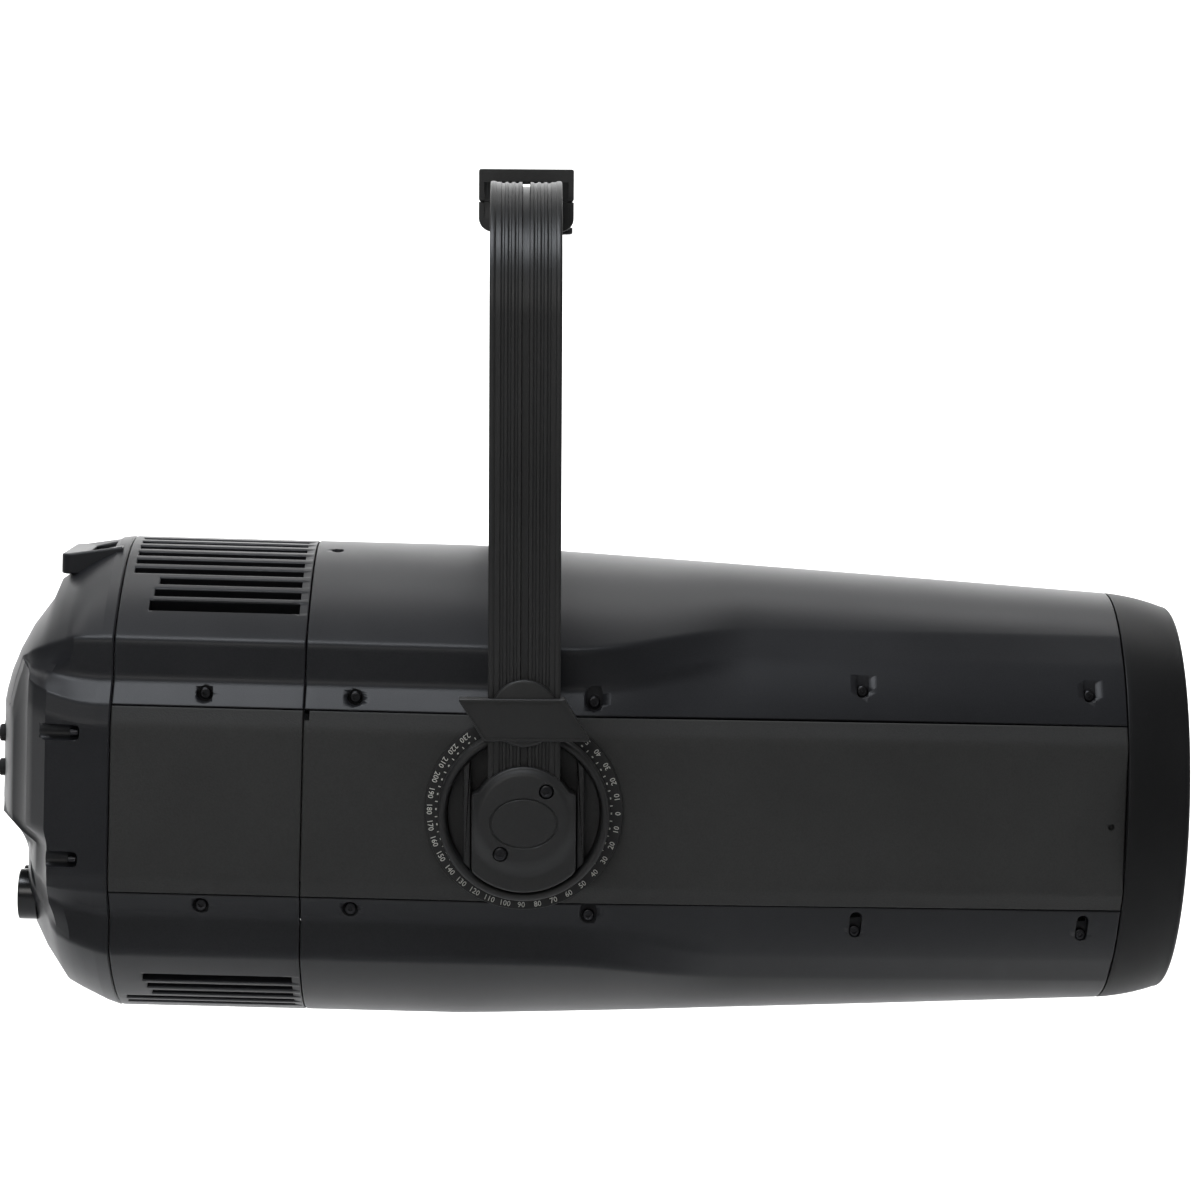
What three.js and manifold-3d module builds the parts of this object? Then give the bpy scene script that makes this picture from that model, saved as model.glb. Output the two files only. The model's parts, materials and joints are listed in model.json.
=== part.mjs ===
// Long-bodied LED spot luminaire hung in a ribbed yoke: casing shells, tilt hubs, rear controls and optics.
// Millimetres. Origin: centre of the hanging-bolt hole on top of the saddle. +X light exit, +Z up.
import * as THREE from "three";
import { mergeVertices } from "three/addons/utils/BufferGeometryUtils.js";
import Module from "manifold-3d";

const wasm = await Module();
wasm.setup();

// ---- driving dimensions -------------------------------------------------------------------------
const GAP = 0.5; // seam between neighbouring casing pieces
const TOUCH = 0.3; // running or seating clearance between pieces that meet
const REST_TILT = THREE.MathUtils.degToRad(1.3); // front hangs slightly low
const PIVOT_DROP = 359; // saddle top to tilt axis

const CASE_HALF_HEIGHT = 138;
const CASE_WALL = 3;
const REAR_SEAM_X = -232; // rear cap to vent module
const VENT_SEAM_X = -124; // vent module to main shells
const RING_SEAM_X = 341; // main shells to front ring
const TAPER_START_X = -35;
const TAPER_POWER = 1.12;
const FRONT_RADIUS = 119.7;
const SHOULDER_Y = 121; // top edge of the upright facet
const SHOULDER_Z = CASE_HALF_HEIGHT - 49;
const FACET_FOOT_Z = 66.5;
const SHOULDER_Z_FRONT = 100;
const FACET_FOOT_Z_FRONT = 84;
const FADE_START_X = 22; // the facet melts into the round nose between these
const FADE_END_X = 125;
const DOME_POWER = 2.6; // how late the crown's arc swells towards the shoulder
const DOME_STEPS = 6;
const PANEL_HALF_HEIGHT = 53;
const PANEL_EDGE_Y = 132;
const PANEL_FACE_Y = 136;
const PANEL_FLAT_Z = 42;
const PANEL_FACE_Y_FRONT = 114;

const POCKET_PLACES = [-180, -96, 38, 190, 320];
const POCKET_RADIUS = 4.7;
const POCKET_DEPTH = 5;

const CAP_LENGTH = 54;
const CAP_SHRINK_Z = 0.37;
const CAP_SHRINK_Y = 0.25;
const CAP_POWER = 3;
const CAP_STATIONS = [0, 0.3, 0.5, 0.65, 0.78, 0.9, 1];
const HOOD_REAR_X = -302;
const HOOD_HALF_WIDTH = 84;
const HOOD_TOP_Z = CASE_HALF_HEIGHT - 26;
const HOOD_BOTTOM_Z = -28;
const HOOD_WALL = 3;
const WINDOW_HALF_WIDTH = 34;
const WINDOW_LOW_Z = -4;
const WINDOW_HIGH_Z = 36;
const BUTTON_RADIUS = 5;
const BUTTON_PLACES = [[-50, 26], [-50, 6]];
const BUTTON_TRAVEL = 1.2;
const KNOB_STEM = 3;
const KNOB_RADIUS = 10;
const KNOB_Y = 52;
const KNOB_Z = 16;
const HANDLE_HALF_WIDTH = 42;
const HANDLE_ARM_WIDTH = 13;
const HANDLE_REAR_X = -271;
const HANDLE_BAR_DEPTH = 11.5;
const HANDLE_TOP_Z = CASE_HALF_HEIGHT - 8;
const FINGER_HALF_WIDTH = 28.5; // pocket under the handle
const FINGER_FLOOR_Z = CASE_HALF_HEIGHT - 34;
const FINGER_FRONT_X = -241;
const HANDLE_BAR_HEIGHT = 12;

const RING_FRONT_X = 378;
const RING_RIM_RADIUS = 112.7;
const RING_WALL = 5;
const LENS_RADIUS = 101;
const LENS_EDGE = 6;
const LENS_BULGE = 12;
const LENS_BACK_X = 346;

const SLOT_COUNT = 9; // louvre slots on each side of the crown
const SLOT_FIRST_DEG = 4.2;
const SLOT_PITCH_DEG = 4.8;
const SLOT_WIDTH = 5;
const SLOT_WIDE_WIDTH = 8.5;
const SLOT_REAR_X = -213;
const SLOT_FRONT_X = -131;
const FLOOR_SLOT_COUNT = 5;

const ARM_WIDTH = 40;
const ARM_THICKNESS = 8;
const ARM_OUTER_Y = 168;
const BAND_TOP_Z = -8;
const BEND_RADIUS = 74; // to the outer face
const ARM_END_BELOW_PIVOT = 14;
const GROOVE_WIDTH = 4.6;
const GROOVE_DEPTH = 3;
const BEAD_WIDTH = 3.4;
const BEAD_RISE = 0.6;

const SADDLE_WIDTH = 55;
const SADDLE_LENGTH = 64;
const SADDLE_PLATE = 6;
const SADDLE_SPLIT_Z = -19;
const SADDLE_BOTTOM_Z = -36;
const HANGING_HOLE_RADIUS = 6.5;
const SADDLE_SCREW_RADIUS = 4;

const DIAL_RADIUS = 55.4;
const DIAL_BACK_Y = 136.5;
const DIAL_THICKNESS = 3;
const WASHER_THICKNESS = 1.8;
const WASHER_RADIUS = 38;
const HUB_RADIUS = 47.8;
const HUB_INNER_RADIUS = 42.8;
const HUB_FLOOR = 4;
const HUB_FRONT_Y = ARM_OUTER_Y - 10;
const CHANNEL_INNER_X = 29.4;
const CHANNEL_WALL = 3;
const COVER_WIDTH = 57.6;
const COVER_CROWN_RADIUS = 29;
const COVER_FRONT_Y = ARM_OUTER_Y + 4.5;
const SHAFT_RADIUS = 8;
const SHAFT_INNER_Y = 98;
const BOSS_RADIUS = 18;
const COVER_SCREW_RADIUS = 3.9;
const COVER_SCREW_PLACES = [[12.4, 15.2], [-12.8, -19.5]];
const LOCK_STEM = 5;
const SADDLE_SCREW_X = 23;
const SADDLE_SCREW_Y = [-20, 20];
const BADGE_LOW_Z = 43;
const BADGE_HIGH_Z = 66.5;
const BADGE_SLANT = 14.5;
const BADGE_HALF_WIDTH = 29.4;
const BADGE_FRONT_Y = ARM_OUTER_Y + 5;
const BADGE_BOSS_RADIUS = 18.7;
const BADGE_BOSS_Z = 58.2;
const LOCK_KNOB_RADIUS = 21;
const LOCK_KNOB_LENGTH = 24;

const CHASSIS_PLATE = 4;
const CHASSIS_HALF_WIDTH = 96;
const CHASSIS_FLOOR_Z = -72;
const CHASSIS_REAR_X = -120;
const CHASSIS_FRONT_X = 300;
const ROD_RADIUS = 4;
const ROD_Y = 62;
const ROD_Z = -40;
const ROD_FRONT_X = 290;
const SCREW_RADIUS = 5;
const SCREW_Z = -52;
const ZOOM_LENS_RADIUS = 42;
const ZOOM_REST_X = 96;
const CARRIAGE_LENGTH = 26;
const GATE_X = -20;
const GATE_HOLE_RADIUS = 30;
const HEAT_SINK_REAR_X = -196;
const FAN_RADIUS = 52;
const FAN_FRAME_HALF = FAN_RADIUS + 6;
const FAN_HUB_RADIUS = 18;
const FAN_BLADES = 7;
const PORT_PLACES = [
  ["power_inlet", -62, 14.5, 3], ["power_outlet", 62, 14.5, 3],
  ["data_inlet", -24, 11, 5], ["data_outlet", 16, 11, 5]];
const PORT_Z = -66;

// ---- materials ----------------------------------------------------------------------------------
const finish = (color, roughness, metalness) =>
  () => new THREE.MeshStandardMaterial({ color, roughness, metalness });
const shellPlastic = finish(0x17181a, 0.42, 0);
const panelPlastic = finish(0x1b1b1a, 0.62, 0);
const blackPaint = finish(0x141414, 0.5, 0.3);
const steel = finish(0x8a8c8f, 0.35, 1);
const blackSteel = finish(0x1a1a1b, 0.38, 1);
const alloy = finish(0xa6a8aa, 0.4, 1);
const glass = finish(0xd8e2e6, 0.05, 0);
const circuitGreen = finish(0x1d4a2c, 0.6, 0);
const softRubber = finish(0x101010, 0.85, 0);

// ---- geometry helpers ---------------------------------------------------------------------------
const mix = (a, b, t) => a + (b - a) * t;
const clamp01 = (t) => Math.min(1, Math.max(0, t));
const smooth = (from, to, x) => {
  const t = clamp01((x - from) / (to - from));
  return t * t * (3 - 2 * t);
};

// A closed three.js geometry as a manifold solid with its faces pointing out.
function solid(geometry) {
  const bare = new THREE.BufferGeometry().setAttribute("position", geometry.getAttribute("position"));
  bare.setIndex(geometry.index);
  const merged = mergeVertices(bare, 1e-4);
  const kept = [];
  const index = merged.index.array;
  for (let i = 0; i < index.length; i += 3) {
    const [a, b, c] = [index[i], index[i + 1], index[i + 2]];
    if (a !== b && b !== c && a !== c) kept.push(a, b, c);
  }
  const build = (triVerts) => new wasm.Manifold(new wasm.Mesh({
    numProp: 3, vertProperties: new Float32Array(merged.attributes.position.array),
    triVerts: new Uint32Array(triVerts),
  }));
  const made = build(kept);
  return made.volume() < 0 ? build(kept.reverse()) : made;
}

const box = (x0, x1, y0, y1, z0, z1) =>
  solid(new THREE.BoxGeometry(x1 - x0, y1 - y0, z1 - z0)
    .translate((x0 + x1) / 2, (y0 + y1) / 2, (z0 + z1) / 2));

// Round bar along an axis letter, from a to b, centred on the other two coordinates in order.
function bar(axis, radius, a, b, u = 0, v = 0, sides = 24) {
  const g = new THREE.CylinderGeometry(radius, radius, b - a, sides).translate(0, (a + b) / 2, 0);
  if (axis === "x") g.rotateZ(-Math.PI / 2).translate(0, u, v);
  if (axis === "y") g.translate(u, 0, v);
  if (axis === "z") g.rotateX(Math.PI / 2).translate(u, v, 0);
  return solid(g);
}

// Turned piece about X from [x, radius] points that close on themselves or on the axis.
const turned = (points, sides = 48) =>
  solid(new THREE.LatheGeometry(points.map(([x, r]) => new THREE.Vector2(r, x)), sides)
    .rotateZ(-Math.PI / 2));

// Flat outline drawn in the XZ plane, pushed along Y from y0 to y1.
function slabY(points, y0, y1) {
  const shape = new THREE.Shape(points.map(([x, z]) => new THREE.Vector2(x, z)));
  return solid(new THREE.ExtrudeGeometry(shape, { depth: y1 - y0, bevelEnabled: false })
    .rotateX(Math.PI / 2).translate(0, y1, 0));
}

// Skin over equal rings of 3-D points, closed with a flat cap at each end.
function skin(rings) {
  const count = rings[0].length;
  const index = [];
  for (let i = 0; i + 1 < rings.length; i++)
    for (let j = 0; j < count; j++) {
      const [a, b] = [i * count + j, i * count + (j + 1) % count];
      index.push(a, b, a + count, b, b + count, a + count);
    }
  const flat = flatten(rings[0]);
  const turn = Math.sign(THREE.ShapeUtils.area(flat));
  const last = (rings.length - 1) * count;
  for (const face of THREE.ShapeUtils.triangulateShape(flat, [])) {
    const same = Math.sign(THREE.ShapeUtils.area(face.map((k) => flat[k]))) === turn;
    const [a, b, c] = same ? face : [...face].reverse();
    index.push(c, b, a, last + a, last + b, last + c);
  }
  const g = new THREE.BufferGeometry();
  g.setAttribute("position", new THREE.Float32BufferAttribute(rings.flat(2), 3));
  g.setIndex(index);
  return solid(g);
}

// A planar ring's points in its own plane: the coordinate that varies least is left out.
function flatten(ring) {
  const spread = [0, 1, 2].map((k) => {
    const values = ring.map((p) => p[k]);
    return Math.max(...values) - Math.min(...values);
  });
  const drop = spread.indexOf(Math.min(...spread));
  const [u, v] = [0, 1, 2].filter((k) => k !== drop);
  return ring.map((p) => new THREE.Vector2(p[u], p[v]));
}

const mirrorY = (s) => s.mirror([0, 1, 0]);
const turnX = (s, degrees) => s.rotate([degrees, 0, 0]);
const shift = (s, x, y, z) => s.translate([x, y, z]);

function node(name, made, material, parent) {
  const m = made.getMesh();
  const g = new THREE.BufferGeometry();
  g.setAttribute("position", new THREE.BufferAttribute(new Float32Array(m.vertProperties), 3));
  g.setIndex(new THREE.BufferAttribute(new Uint32Array(m.triVerts), 1));
  g.computeVertexNormals();
  const mesh = new THREE.Mesh(g, material());
  mesh.name = name;
  parent.add(mesh);
  return mesh;
}

const luminaire = new THREE.Group();
const yoke = new THREE.Group();
const housing = new THREE.Group();
luminaire.add(yoke, housing);
housing.position.z = -PIVOT_DROP;
housing.rotation.y = REST_TILT;

// ---- casing section -----------------------------------------------------------------------------
function halfHeight(x) {
  const along = clamp01((x - TAPER_START_X) / (RING_SEAM_X - TAPER_START_X));
  return CASE_HALF_HEIGHT - (CASE_HALF_HEIGHT - FRONT_RADIUS) * along ** TAPER_POWER;
}

// One quarter of the section, from the crown to the side panel's flat: dome, facet, ledge, chamfer.
function quarter(x) {
  const h = halfHeight(x);
  const round = (z) => Math.sqrt(h * h - z * z);
  const fade = smooth(FADE_START_X, FADE_END_X, x);
  const forward = clamp01((x - FADE_START_X) / (RING_SEAM_X - FADE_START_X));
  const shoulderZ = mix(SHOULDER_Z, SHOULDER_Z_FRONT, fade);
  const shoulderY = mix(SHOULDER_Y, round(shoulderZ), fade);
  const footZ = mix(FACET_FOOT_Z, FACET_FOOT_Z_FRONT, fade);
  const footY = mix(SHOULDER_Y, round(footZ), fade);
  const edgeFront = Math.sqrt(FRONT_RADIUS ** 2 - PANEL_HALF_HEIGHT ** 2);
  const edgeY = mix(PANEL_EDGE_Y, edgeFront, forward);
  const ledgeZ = (footZ + PANEL_HALF_HEIGHT) / 2;
  const ledgeY = mix((footY + edgeY) / 2, round(ledgeZ), Math.min(fade, forward * 2));
  const shoulderAngle = Math.atan2(shoulderY, shoulderZ);
  const bulge = Math.hypot(shoulderY, shoulderZ) - h;
  const dome = Array.from({ length: DOME_STEPS + 1 }, (_, i) => {
    const t = i / DOME_STEPS;
    const radius = h + bulge * t ** DOME_POWER;
    return [radius * Math.sin(shoulderAngle * t), radius * Math.cos(shoulderAngle * t)];
  });
  const faceY = mix(PANEL_FACE_Y, PANEL_FACE_Y_FRONT, forward);
  return [...dome, [footY, footZ], [ledgeY, ledgeZ], [edgeY, PANEL_HALF_HEIGHT], [faceY, PANEL_FLAT_Z]];
}

// The whole section at x as a ring of points, scaled about the axis by ky and kz.
function sectionRing(x, ky, kz, shape = quarter(x)) {
  const up = shape.map(([y, z]) => [y * ky, z * kz]);
  const right = [...up, ...up.map(([y, z]) => [y, -z]).reverse()];
  const left = right.map(([y, z]) => [-y, z]).reverse().slice(1, -1);
  return [...right, ...left].map(([y, z]) => [x, y, z]);
}

const MAIN_STATIONS = [VENT_SEAM_X, TAPER_START_X, FADE_START_X, 48, 74, 100, FADE_END_X,
  190, 265, RING_SEAM_X];

// Casing between two stations, whole or shrunk by the wall for its inside.
function casing(stations, inset) {
  return skin(stations.map((x) => {
    const k = 1 - inset / halfHeight(x);
    return sectionRing(x, k, k);
  }));
}

function shellBetween(stations) {
  const inside = [stations[0] - 1, ...stations.slice(1, -1), stations.at(-1) + 1];
  return casing(stations, 0).subtract(casing(inside, CASE_WALL));
}

const FAR = 900; // larger than the object, for cutting boxes
const above = (z) => box(-FAR, FAR, -FAR, FAR, z, FAR);
const below = (z) => box(-FAR, FAR, -FAR, FAR, -FAR, z);
const SIDES = [["far", (s) => s], ["near", mirrorY]];

// Screw pockets sunk into the ledge, square to the casing's side.
function ledgePockets(side) {
  return POCKET_PLACES.map((x) => {
    const [ledgeY, ledgeZ] = quarter(x).at(-3);
    return bar("y", POCKET_RADIUS, ledgeY - POCKET_DEPTH, FAR, x, side * ledgeZ, 12);
  });
}

const bothSides = (cuts) => cuts.flatMap((cut) => [cut, mirrorY(cut)]);
const cutAll = (whole, cuts) => cuts.reduce((left, cut) => left.subtract(cut), whole);
const joinAll = (parts) => parts.reduce((all, part) => all.add(part));

// ---- casing pieces ------------------------------------------------------------------------------
function louvres(count, overturn) {
  const cuts = [];
  for (let i = 0; i < count; i++) {
    const lowest = i === SLOT_COUNT - 1;
    const half = (lowest ? SLOT_WIDE_WIDTH : SLOT_WIDTH) / 2;
    const blade = box(SLOT_REAR_X, SLOT_FRONT_X, -half, half, 0.6 * CASE_HALF_HEIGHT, FAR);
    const degrees = SLOT_FIRST_DEG + i * SLOT_PITCH_DEG;
    for (const turn of [degrees, -degrees]) cuts.push(turnX(blade, overturn + turn));
  }
  return cuts;
}

function casingPieces() {
  const vent = shellBetween([REAR_SEAM_X + GAP, VENT_SEAM_X - GAP]);
  const main = shellBetween(MAIN_STATIONS);
  const seam = PANEL_HALF_HEIGHT + GAP / 2;
  const high = bothSides(ledgePockets(1));
  const low = bothSides(ledgePockets(-1));
  const dialRoom = bothSides([bar("y", DIAL_RADIUS + 1, DIAL_BACK_Y - 5, FAR, 0, 0, 48)]);
  const ventTop = cutAll(vent.intersect(above(seam)), [...louvres(SLOT_COUNT, 0), ...high]);
  const ventLow = cutAll(vent.intersect(below(-seam)), [...louvres(FLOOR_SLOT_COUNT, 180), ...low]);
  const mainTop = cutAll(main.intersect(above(seam)), [...high, ...dialRoom]);
  const mainLow = cutAll(main.intersect(below(-seam)), [...low, ...dialRoom]);
  node("vent_top_shell", ventTop, shellPlastic, housing);
  node("vent_bottom_shell", ventLow, shellPlastic, housing);
  node("main_top_shell", mainTop, shellPlastic, housing);
  node("main_bottom_shell", mainLow, shellPlastic, housing);
  const farBand = box(-FAR, FAR, 0, FAR, GAP / 2 - PANEL_HALF_HEIGHT, PANEL_HALF_HEIGHT - GAP / 2);
  const bossHole = bar("y", BOSS_RADIUS + TOUCH, 0, FAR, 0, 0, 32);
  const ventPanel = vent.intersect(farBand);
  const sidePanel = main.intersect(farBand).subtract(bossHole);
  for (const [side, place] of SIDES) {
    node(`vent_panel_${side}`, place(ventPanel), panelPlastic, housing);
    node(`side_panel_${side}`, place(sidePanel), panelPlastic, housing);
  }
}

// Rear cap: the same section drawn in towards the back along a power curve.
function capSkin(scale, shiftX, mouthX) {
  return skin(CAP_STATIONS.map((u, i) => {
    const ky = (1 - CAP_SHRINK_Y * u ** CAP_POWER) * scale;
    const kz = (1 - CAP_SHRINK_Z * u ** CAP_POWER) * scale;
    const x = REAR_SEAM_X - u * CAP_LENGTH + (i ? shiftX : mouthX);
    return sectionRing(x, ky, kz, quarter(REAR_SEAM_X));
  }));
}

function rearPieces() {
  const rearOfCap = REAR_SEAM_X - CAP_LENGTH;
  const inner = capSkin(1 - CASE_WALL / CASE_HALF_HEIGHT, CASE_WALL, 1);
  const ports = PORT_PLACES.map(([, y, radius]) =>
    bar("x", radius - 1.5 + TOUCH, rearOfCap - 5, rearOfCap + 8, y, PORT_Z, 24));
  const cap = capSkin(1, 0, 0).subtract(fingerRoom(0)).subtract(inner.subtract(fingerRoom(CASE_WALL)));
  node("rear_cap", cutAll(cap, ports), shellPlastic, housing);
  for (const [name, y, radius, proud] of PORT_PLACES) {
    const flange = bar("x", radius, rearOfCap - proud, rearOfCap - TOUCH, y, PORT_Z, 28);
    const body = bar("x", radius - 1.5, rearOfCap - TOUCH - 0.1, rearOfCap + 22, y, PORT_Z, 24);
    const socket = bar("x", radius - 4, rearOfCap - proud - 1, rearOfCap + 12, y, PORT_Z, 20);
    node(name, flange.add(body).subtract(socket), blackPaint, housing);
  }
  const clear = capSkin(1 + TOUCH / 50, -TOUCH, 2);
  displayHood(clear, rearOfCap);
  carryHandle(clear);
}

// Space for the fingers under the carrying handle, grown by a wall for the skin beneath it.
const fingerRoom = (wall) => box(-FAR, FINGER_FRONT_X + wall, -FINGER_HALF_WIDTH - wall,
  FINGER_HALF_WIDTH + wall, FINGER_FLOOR_Z - wall, FAR);

function displayHood(clear, rearOfCap) {
  const mouthX = rearOfCap + 28;
  const profile = (wall) => [
    [mouthX, HOOD_TOP_Z - wall], [rearOfCap + 6, HOOD_TOP_Z - wall], [HOOD_REAR_X + 9 + wall, 84 - wall],
    [HOOD_REAR_X + 2.5 + wall, 66], [HOOD_REAR_X + wall, 46], [HOOD_REAR_X + wall, HOOD_BOTTOM_Z + 12],
    [rearOfCap - 3 + wall / 2, HOOD_BOTTOM_Z + wall], [mouthX, HOOD_BOTTOM_Z + wall]];
  const outer = slabY(profile(0), -HOOD_HALF_WIDTH, HOOD_HALF_WIDTH);
  const hollow = slabY(profile(HOOD_WALL), HOOD_WALL - HOOD_HALF_WIDTH, HOOD_HALF_WIDTH - HOOD_WALL);
  const through = [HOOD_REAR_X - 1, HOOD_REAR_X + HOOD_WALL + 1];
  const windowHole = box(...through, -WINDOW_HALF_WIDTH, WINDOW_HALF_WIDTH, WINDOW_LOW_Z, WINDOW_HIGH_Z);
  const keyHoles = BUTTON_PLACES.map(([y, z]) => bar("x", BUTTON_RADIUS + TOUCH, ...through, y, z, 20));
  const stemHole = bar("x", KNOB_STEM + TOUCH, ...through, KNOB_Y, KNOB_Z, 20);
  const skinned = outer.subtract(fingerRoom(0)).subtract(hollow.subtract(fingerRoom(HOOD_WALL)));
  const hood = cutAll(skinned.subtract(clear), [windowHole, ...keyHoles, stemHole]);
  node("display_hood", hood, shellPlastic, housing);
  node("display_window", box(HOOD_REAR_X + 0.8, HOOD_REAR_X + HOOD_WALL, TOUCH - WINDOW_HALF_WIDTH,
    WINDOW_HALF_WIDTH - TOUCH, WINDOW_LOW_Z + TOUCH, WINDOW_HIGH_Z - TOUCH), glass, housing);
  BUTTON_PLACES.forEach(([y, z], i) => {
    const cap = bar("x", BUTTON_RADIUS, HOOD_REAR_X - BUTTON_TRAVEL - 0.6, HOOD_REAR_X + HOOD_WALL,
      y, z, 20);
    node(["menu_button", "enter_button"][i], cap, softRubber, housing);
  });
  const grip = bar("x", KNOB_RADIUS, HOOD_REAR_X - 11, HOOD_REAR_X - 1, KNOB_Y, KNOB_Z, 24);
  const stem = bar("x", KNOB_STEM, HOOD_REAR_X - 1.1, HOOD_REAR_X + 8, KNOB_Y, KNOB_Z, 20);
  node("encoder_knob", grip.add(stem), softRubber, housing);
}

// Bar across the back of the cap with an arm at each end, leaving a finger slot between.
function carryHandle(clear) {
  const [rear, front] = [HANDLE_REAR_X, HANDLE_REAR_X + HANDLE_BAR_DEPTH];
  const [low, high] = [HANDLE_TOP_Z - HANDLE_BAR_HEIGHT, HANDLE_TOP_Z];
  const armTop = CASE_HALF_HEIGHT - 2;
  const armFront = REAR_SEAM_X - 3.5;
  const arm = slabY([[rear, low + 3], [rear + 2, low], [front - 2, low], [armFront, high - 8],
    [armFront, armTop], [front, high + 1], [rear + 2, high], [rear, high - 3]],
  HANDLE_HALF_WIDTH - HANDLE_ARM_WIDTH, HANDLE_HALF_WIDTH);
  const cross = slabY([[rear, low + 3], [rear + 2, low], [front - 2, low], [front, low + 3],
    [front, high - 2], [front - 2, high], [rear + 2, high], [rear, high - 3]],
  -HANDLE_HALF_WIDTH + 1, HANDLE_HALF_WIDTH - 1);
  node("carry_handle", cross.add(arm).add(mirrorY(arm)).subtract(clear), blackPaint, housing);
}

function frontPieces() {
  const back = RING_SEAM_X + GAP;
  const lip = RING_RIM_RADIUS - RING_WALL;
  const seat = LENS_BACK_X + LENS_EDGE + 3;
  node("front_ring", turned([[back, FRONT_RADIUS], [back + 16, FRONT_RADIUS - 0.8],
    [RING_FRONT_X - 8, RING_RIM_RADIUS + 3], [RING_FRONT_X, RING_RIM_RADIUS], [RING_FRONT_X, lip],
    [seat, lip - 1], [seat, LENS_RADIUS - 3], [seat - 3, LENS_RADIUS - 3], [seat - 3, LENS_RADIUS + TOUCH],
    [back, LENS_RADIUS + TOUCH], [back, FRONT_RADIUS]], 48), shellPlastic, housing);
  const crown = [1, 0.75, 0.45, 0].map((k) =>
    [LENS_BACK_X + LENS_EDGE - TOUCH + LENS_BULGE * (1 - k * k), (LENS_RADIUS - 4) * k]);
  node("front_lens", turned([[LENS_BACK_X, 0], [LENS_BACK_X, LENS_RADIUS],
    [LENS_BACK_X + LENS_EDGE - TOUCH, LENS_RADIUS], ...crown], 40), glass, housing);
  const seal = LENS_BACK_X - TOUCH;
  node("lens_gasket", turned([[seal - 3, LENS_RADIUS - 6], [seal, LENS_RADIUS - 6], [seal, LENS_RADIUS],
    [seal - 3, LENS_RADIUS], [seal - 3, LENS_RADIUS - 6]], 32), softRubber, housing);
}

// ---- tilt hubs ----------------------------------------------------------------------------------
function tiltHubs() {
  const dialFront = DIAL_BACK_Y + DIAL_THICKNESS;
  const washerBack = dialFront + TOUCH;
  const hubBack = washerBack + WASHER_THICKNESS + TOUCH;
  const bossHole = bar("y", SHAFT_RADIUS + 1, 0, FAR, 0, 0, 24);
  const dial = bar("y", DIAL_RADIUS, DIAL_BACK_Y, dialFront, 0, 0, 64).subtract(bossHole);
  const washer = bar("y", WASHER_RADIUS, washerBack, washerBack + WASHER_THICKNESS, 0, 0, 32)
    .subtract(bossHole);
  const recess = bar("y", HUB_INNER_RADIUS, hubBack + HUB_FLOOR, FAR, 0, 0, 64);
  const cup = bar("y", HUB_RADIUS, hubBack, HUB_FRONT_Y, 0, 0, 64).subtract(recess);
  const inCup = bar("y", HUB_INNER_RADIUS + 1, hubBack, HUB_FRONT_Y - 1, 0, 0, 48);
  const cheek = box(CHANNEL_INNER_X, CHANNEL_INNER_X + CHANNEL_WALL, hubBack + 1, HUB_FRONT_Y - 2, -FAR, FAR);
  const cheeks = cheek.add(cheek.mirror([1, 0, 0])).intersect(inCup);
  const armBack = ARM_OUTER_Y - ARM_THICKNESS - TOUCH;
  const pad = box(-ARM_WIDTH / 2, ARM_WIDTH / 2, hubBack + 1, armBack, -ARM_END_BELOW_PIVOT, 36);
  const armGate = box(-ARM_WIDTH / 2 - 1, ARM_WIDTH / 2 + 1, armBack, FAR, 0, FAR);
  const shaftHole = bar("y", SHAFT_RADIUS + TOUCH, 0, FAR, 0, 0, 24);
  const hub = joinAll([cup, cheeks, pad]).subtract(armGate).subtract(shaftHole);
  const shaft = bar("y", SHAFT_RADIUS, SHAFT_INNER_Y, armBack - TOUCH, 0, 0, 24)
    .add(bar("y", SHAFT_RADIUS + 4, SHAFT_INNER_Y - 6, SHAFT_INNER_Y - 0.5, 0, 0, 24))
    .add(bar("y", SHAFT_RADIUS, SHAFT_INNER_Y - 1, SHAFT_INNER_Y + 1, 0, 0, 24));
  const cover = hubCover(hubBack + HUB_FLOOR + TOUCH);
  for (const [side, place] of SIDES) {
    node(`tilt_dial_${side}`, place(dial), blackPaint, housing);
    const drop = (s) => shift(place(s), 0, 0, -PIVOT_DROP);
    node(`friction_washer_${side}`, drop(washer), softRubber, yoke);
    node(`hub_cup_${side}`, drop(hub), shellPlastic, yoke);
    node(`pivot_shaft_${side}`, drop(shaft), steel, yoke);
    node(`hub_cover_${side}`, drop(side === "far" ? cover.subtract(lockRoom()) : cover), shellPlastic, yoke);
    COVER_SCREW_PLACES.forEach(([x, z], i) => {
      const head = bar("y", COVER_SCREW_RADIUS, COVER_FRONT_Y - 3.2, COVER_FRONT_Y - 1, x, z, 16);
      const hex = bar("y", 1.6, COVER_FRONT_Y - 2, FAR, x, z, 6);
      node(`cover_screw_${side}_${i + 1}`, drop(head.subtract(hex)), blackSteel, yoke);
    });
  }
}

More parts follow.
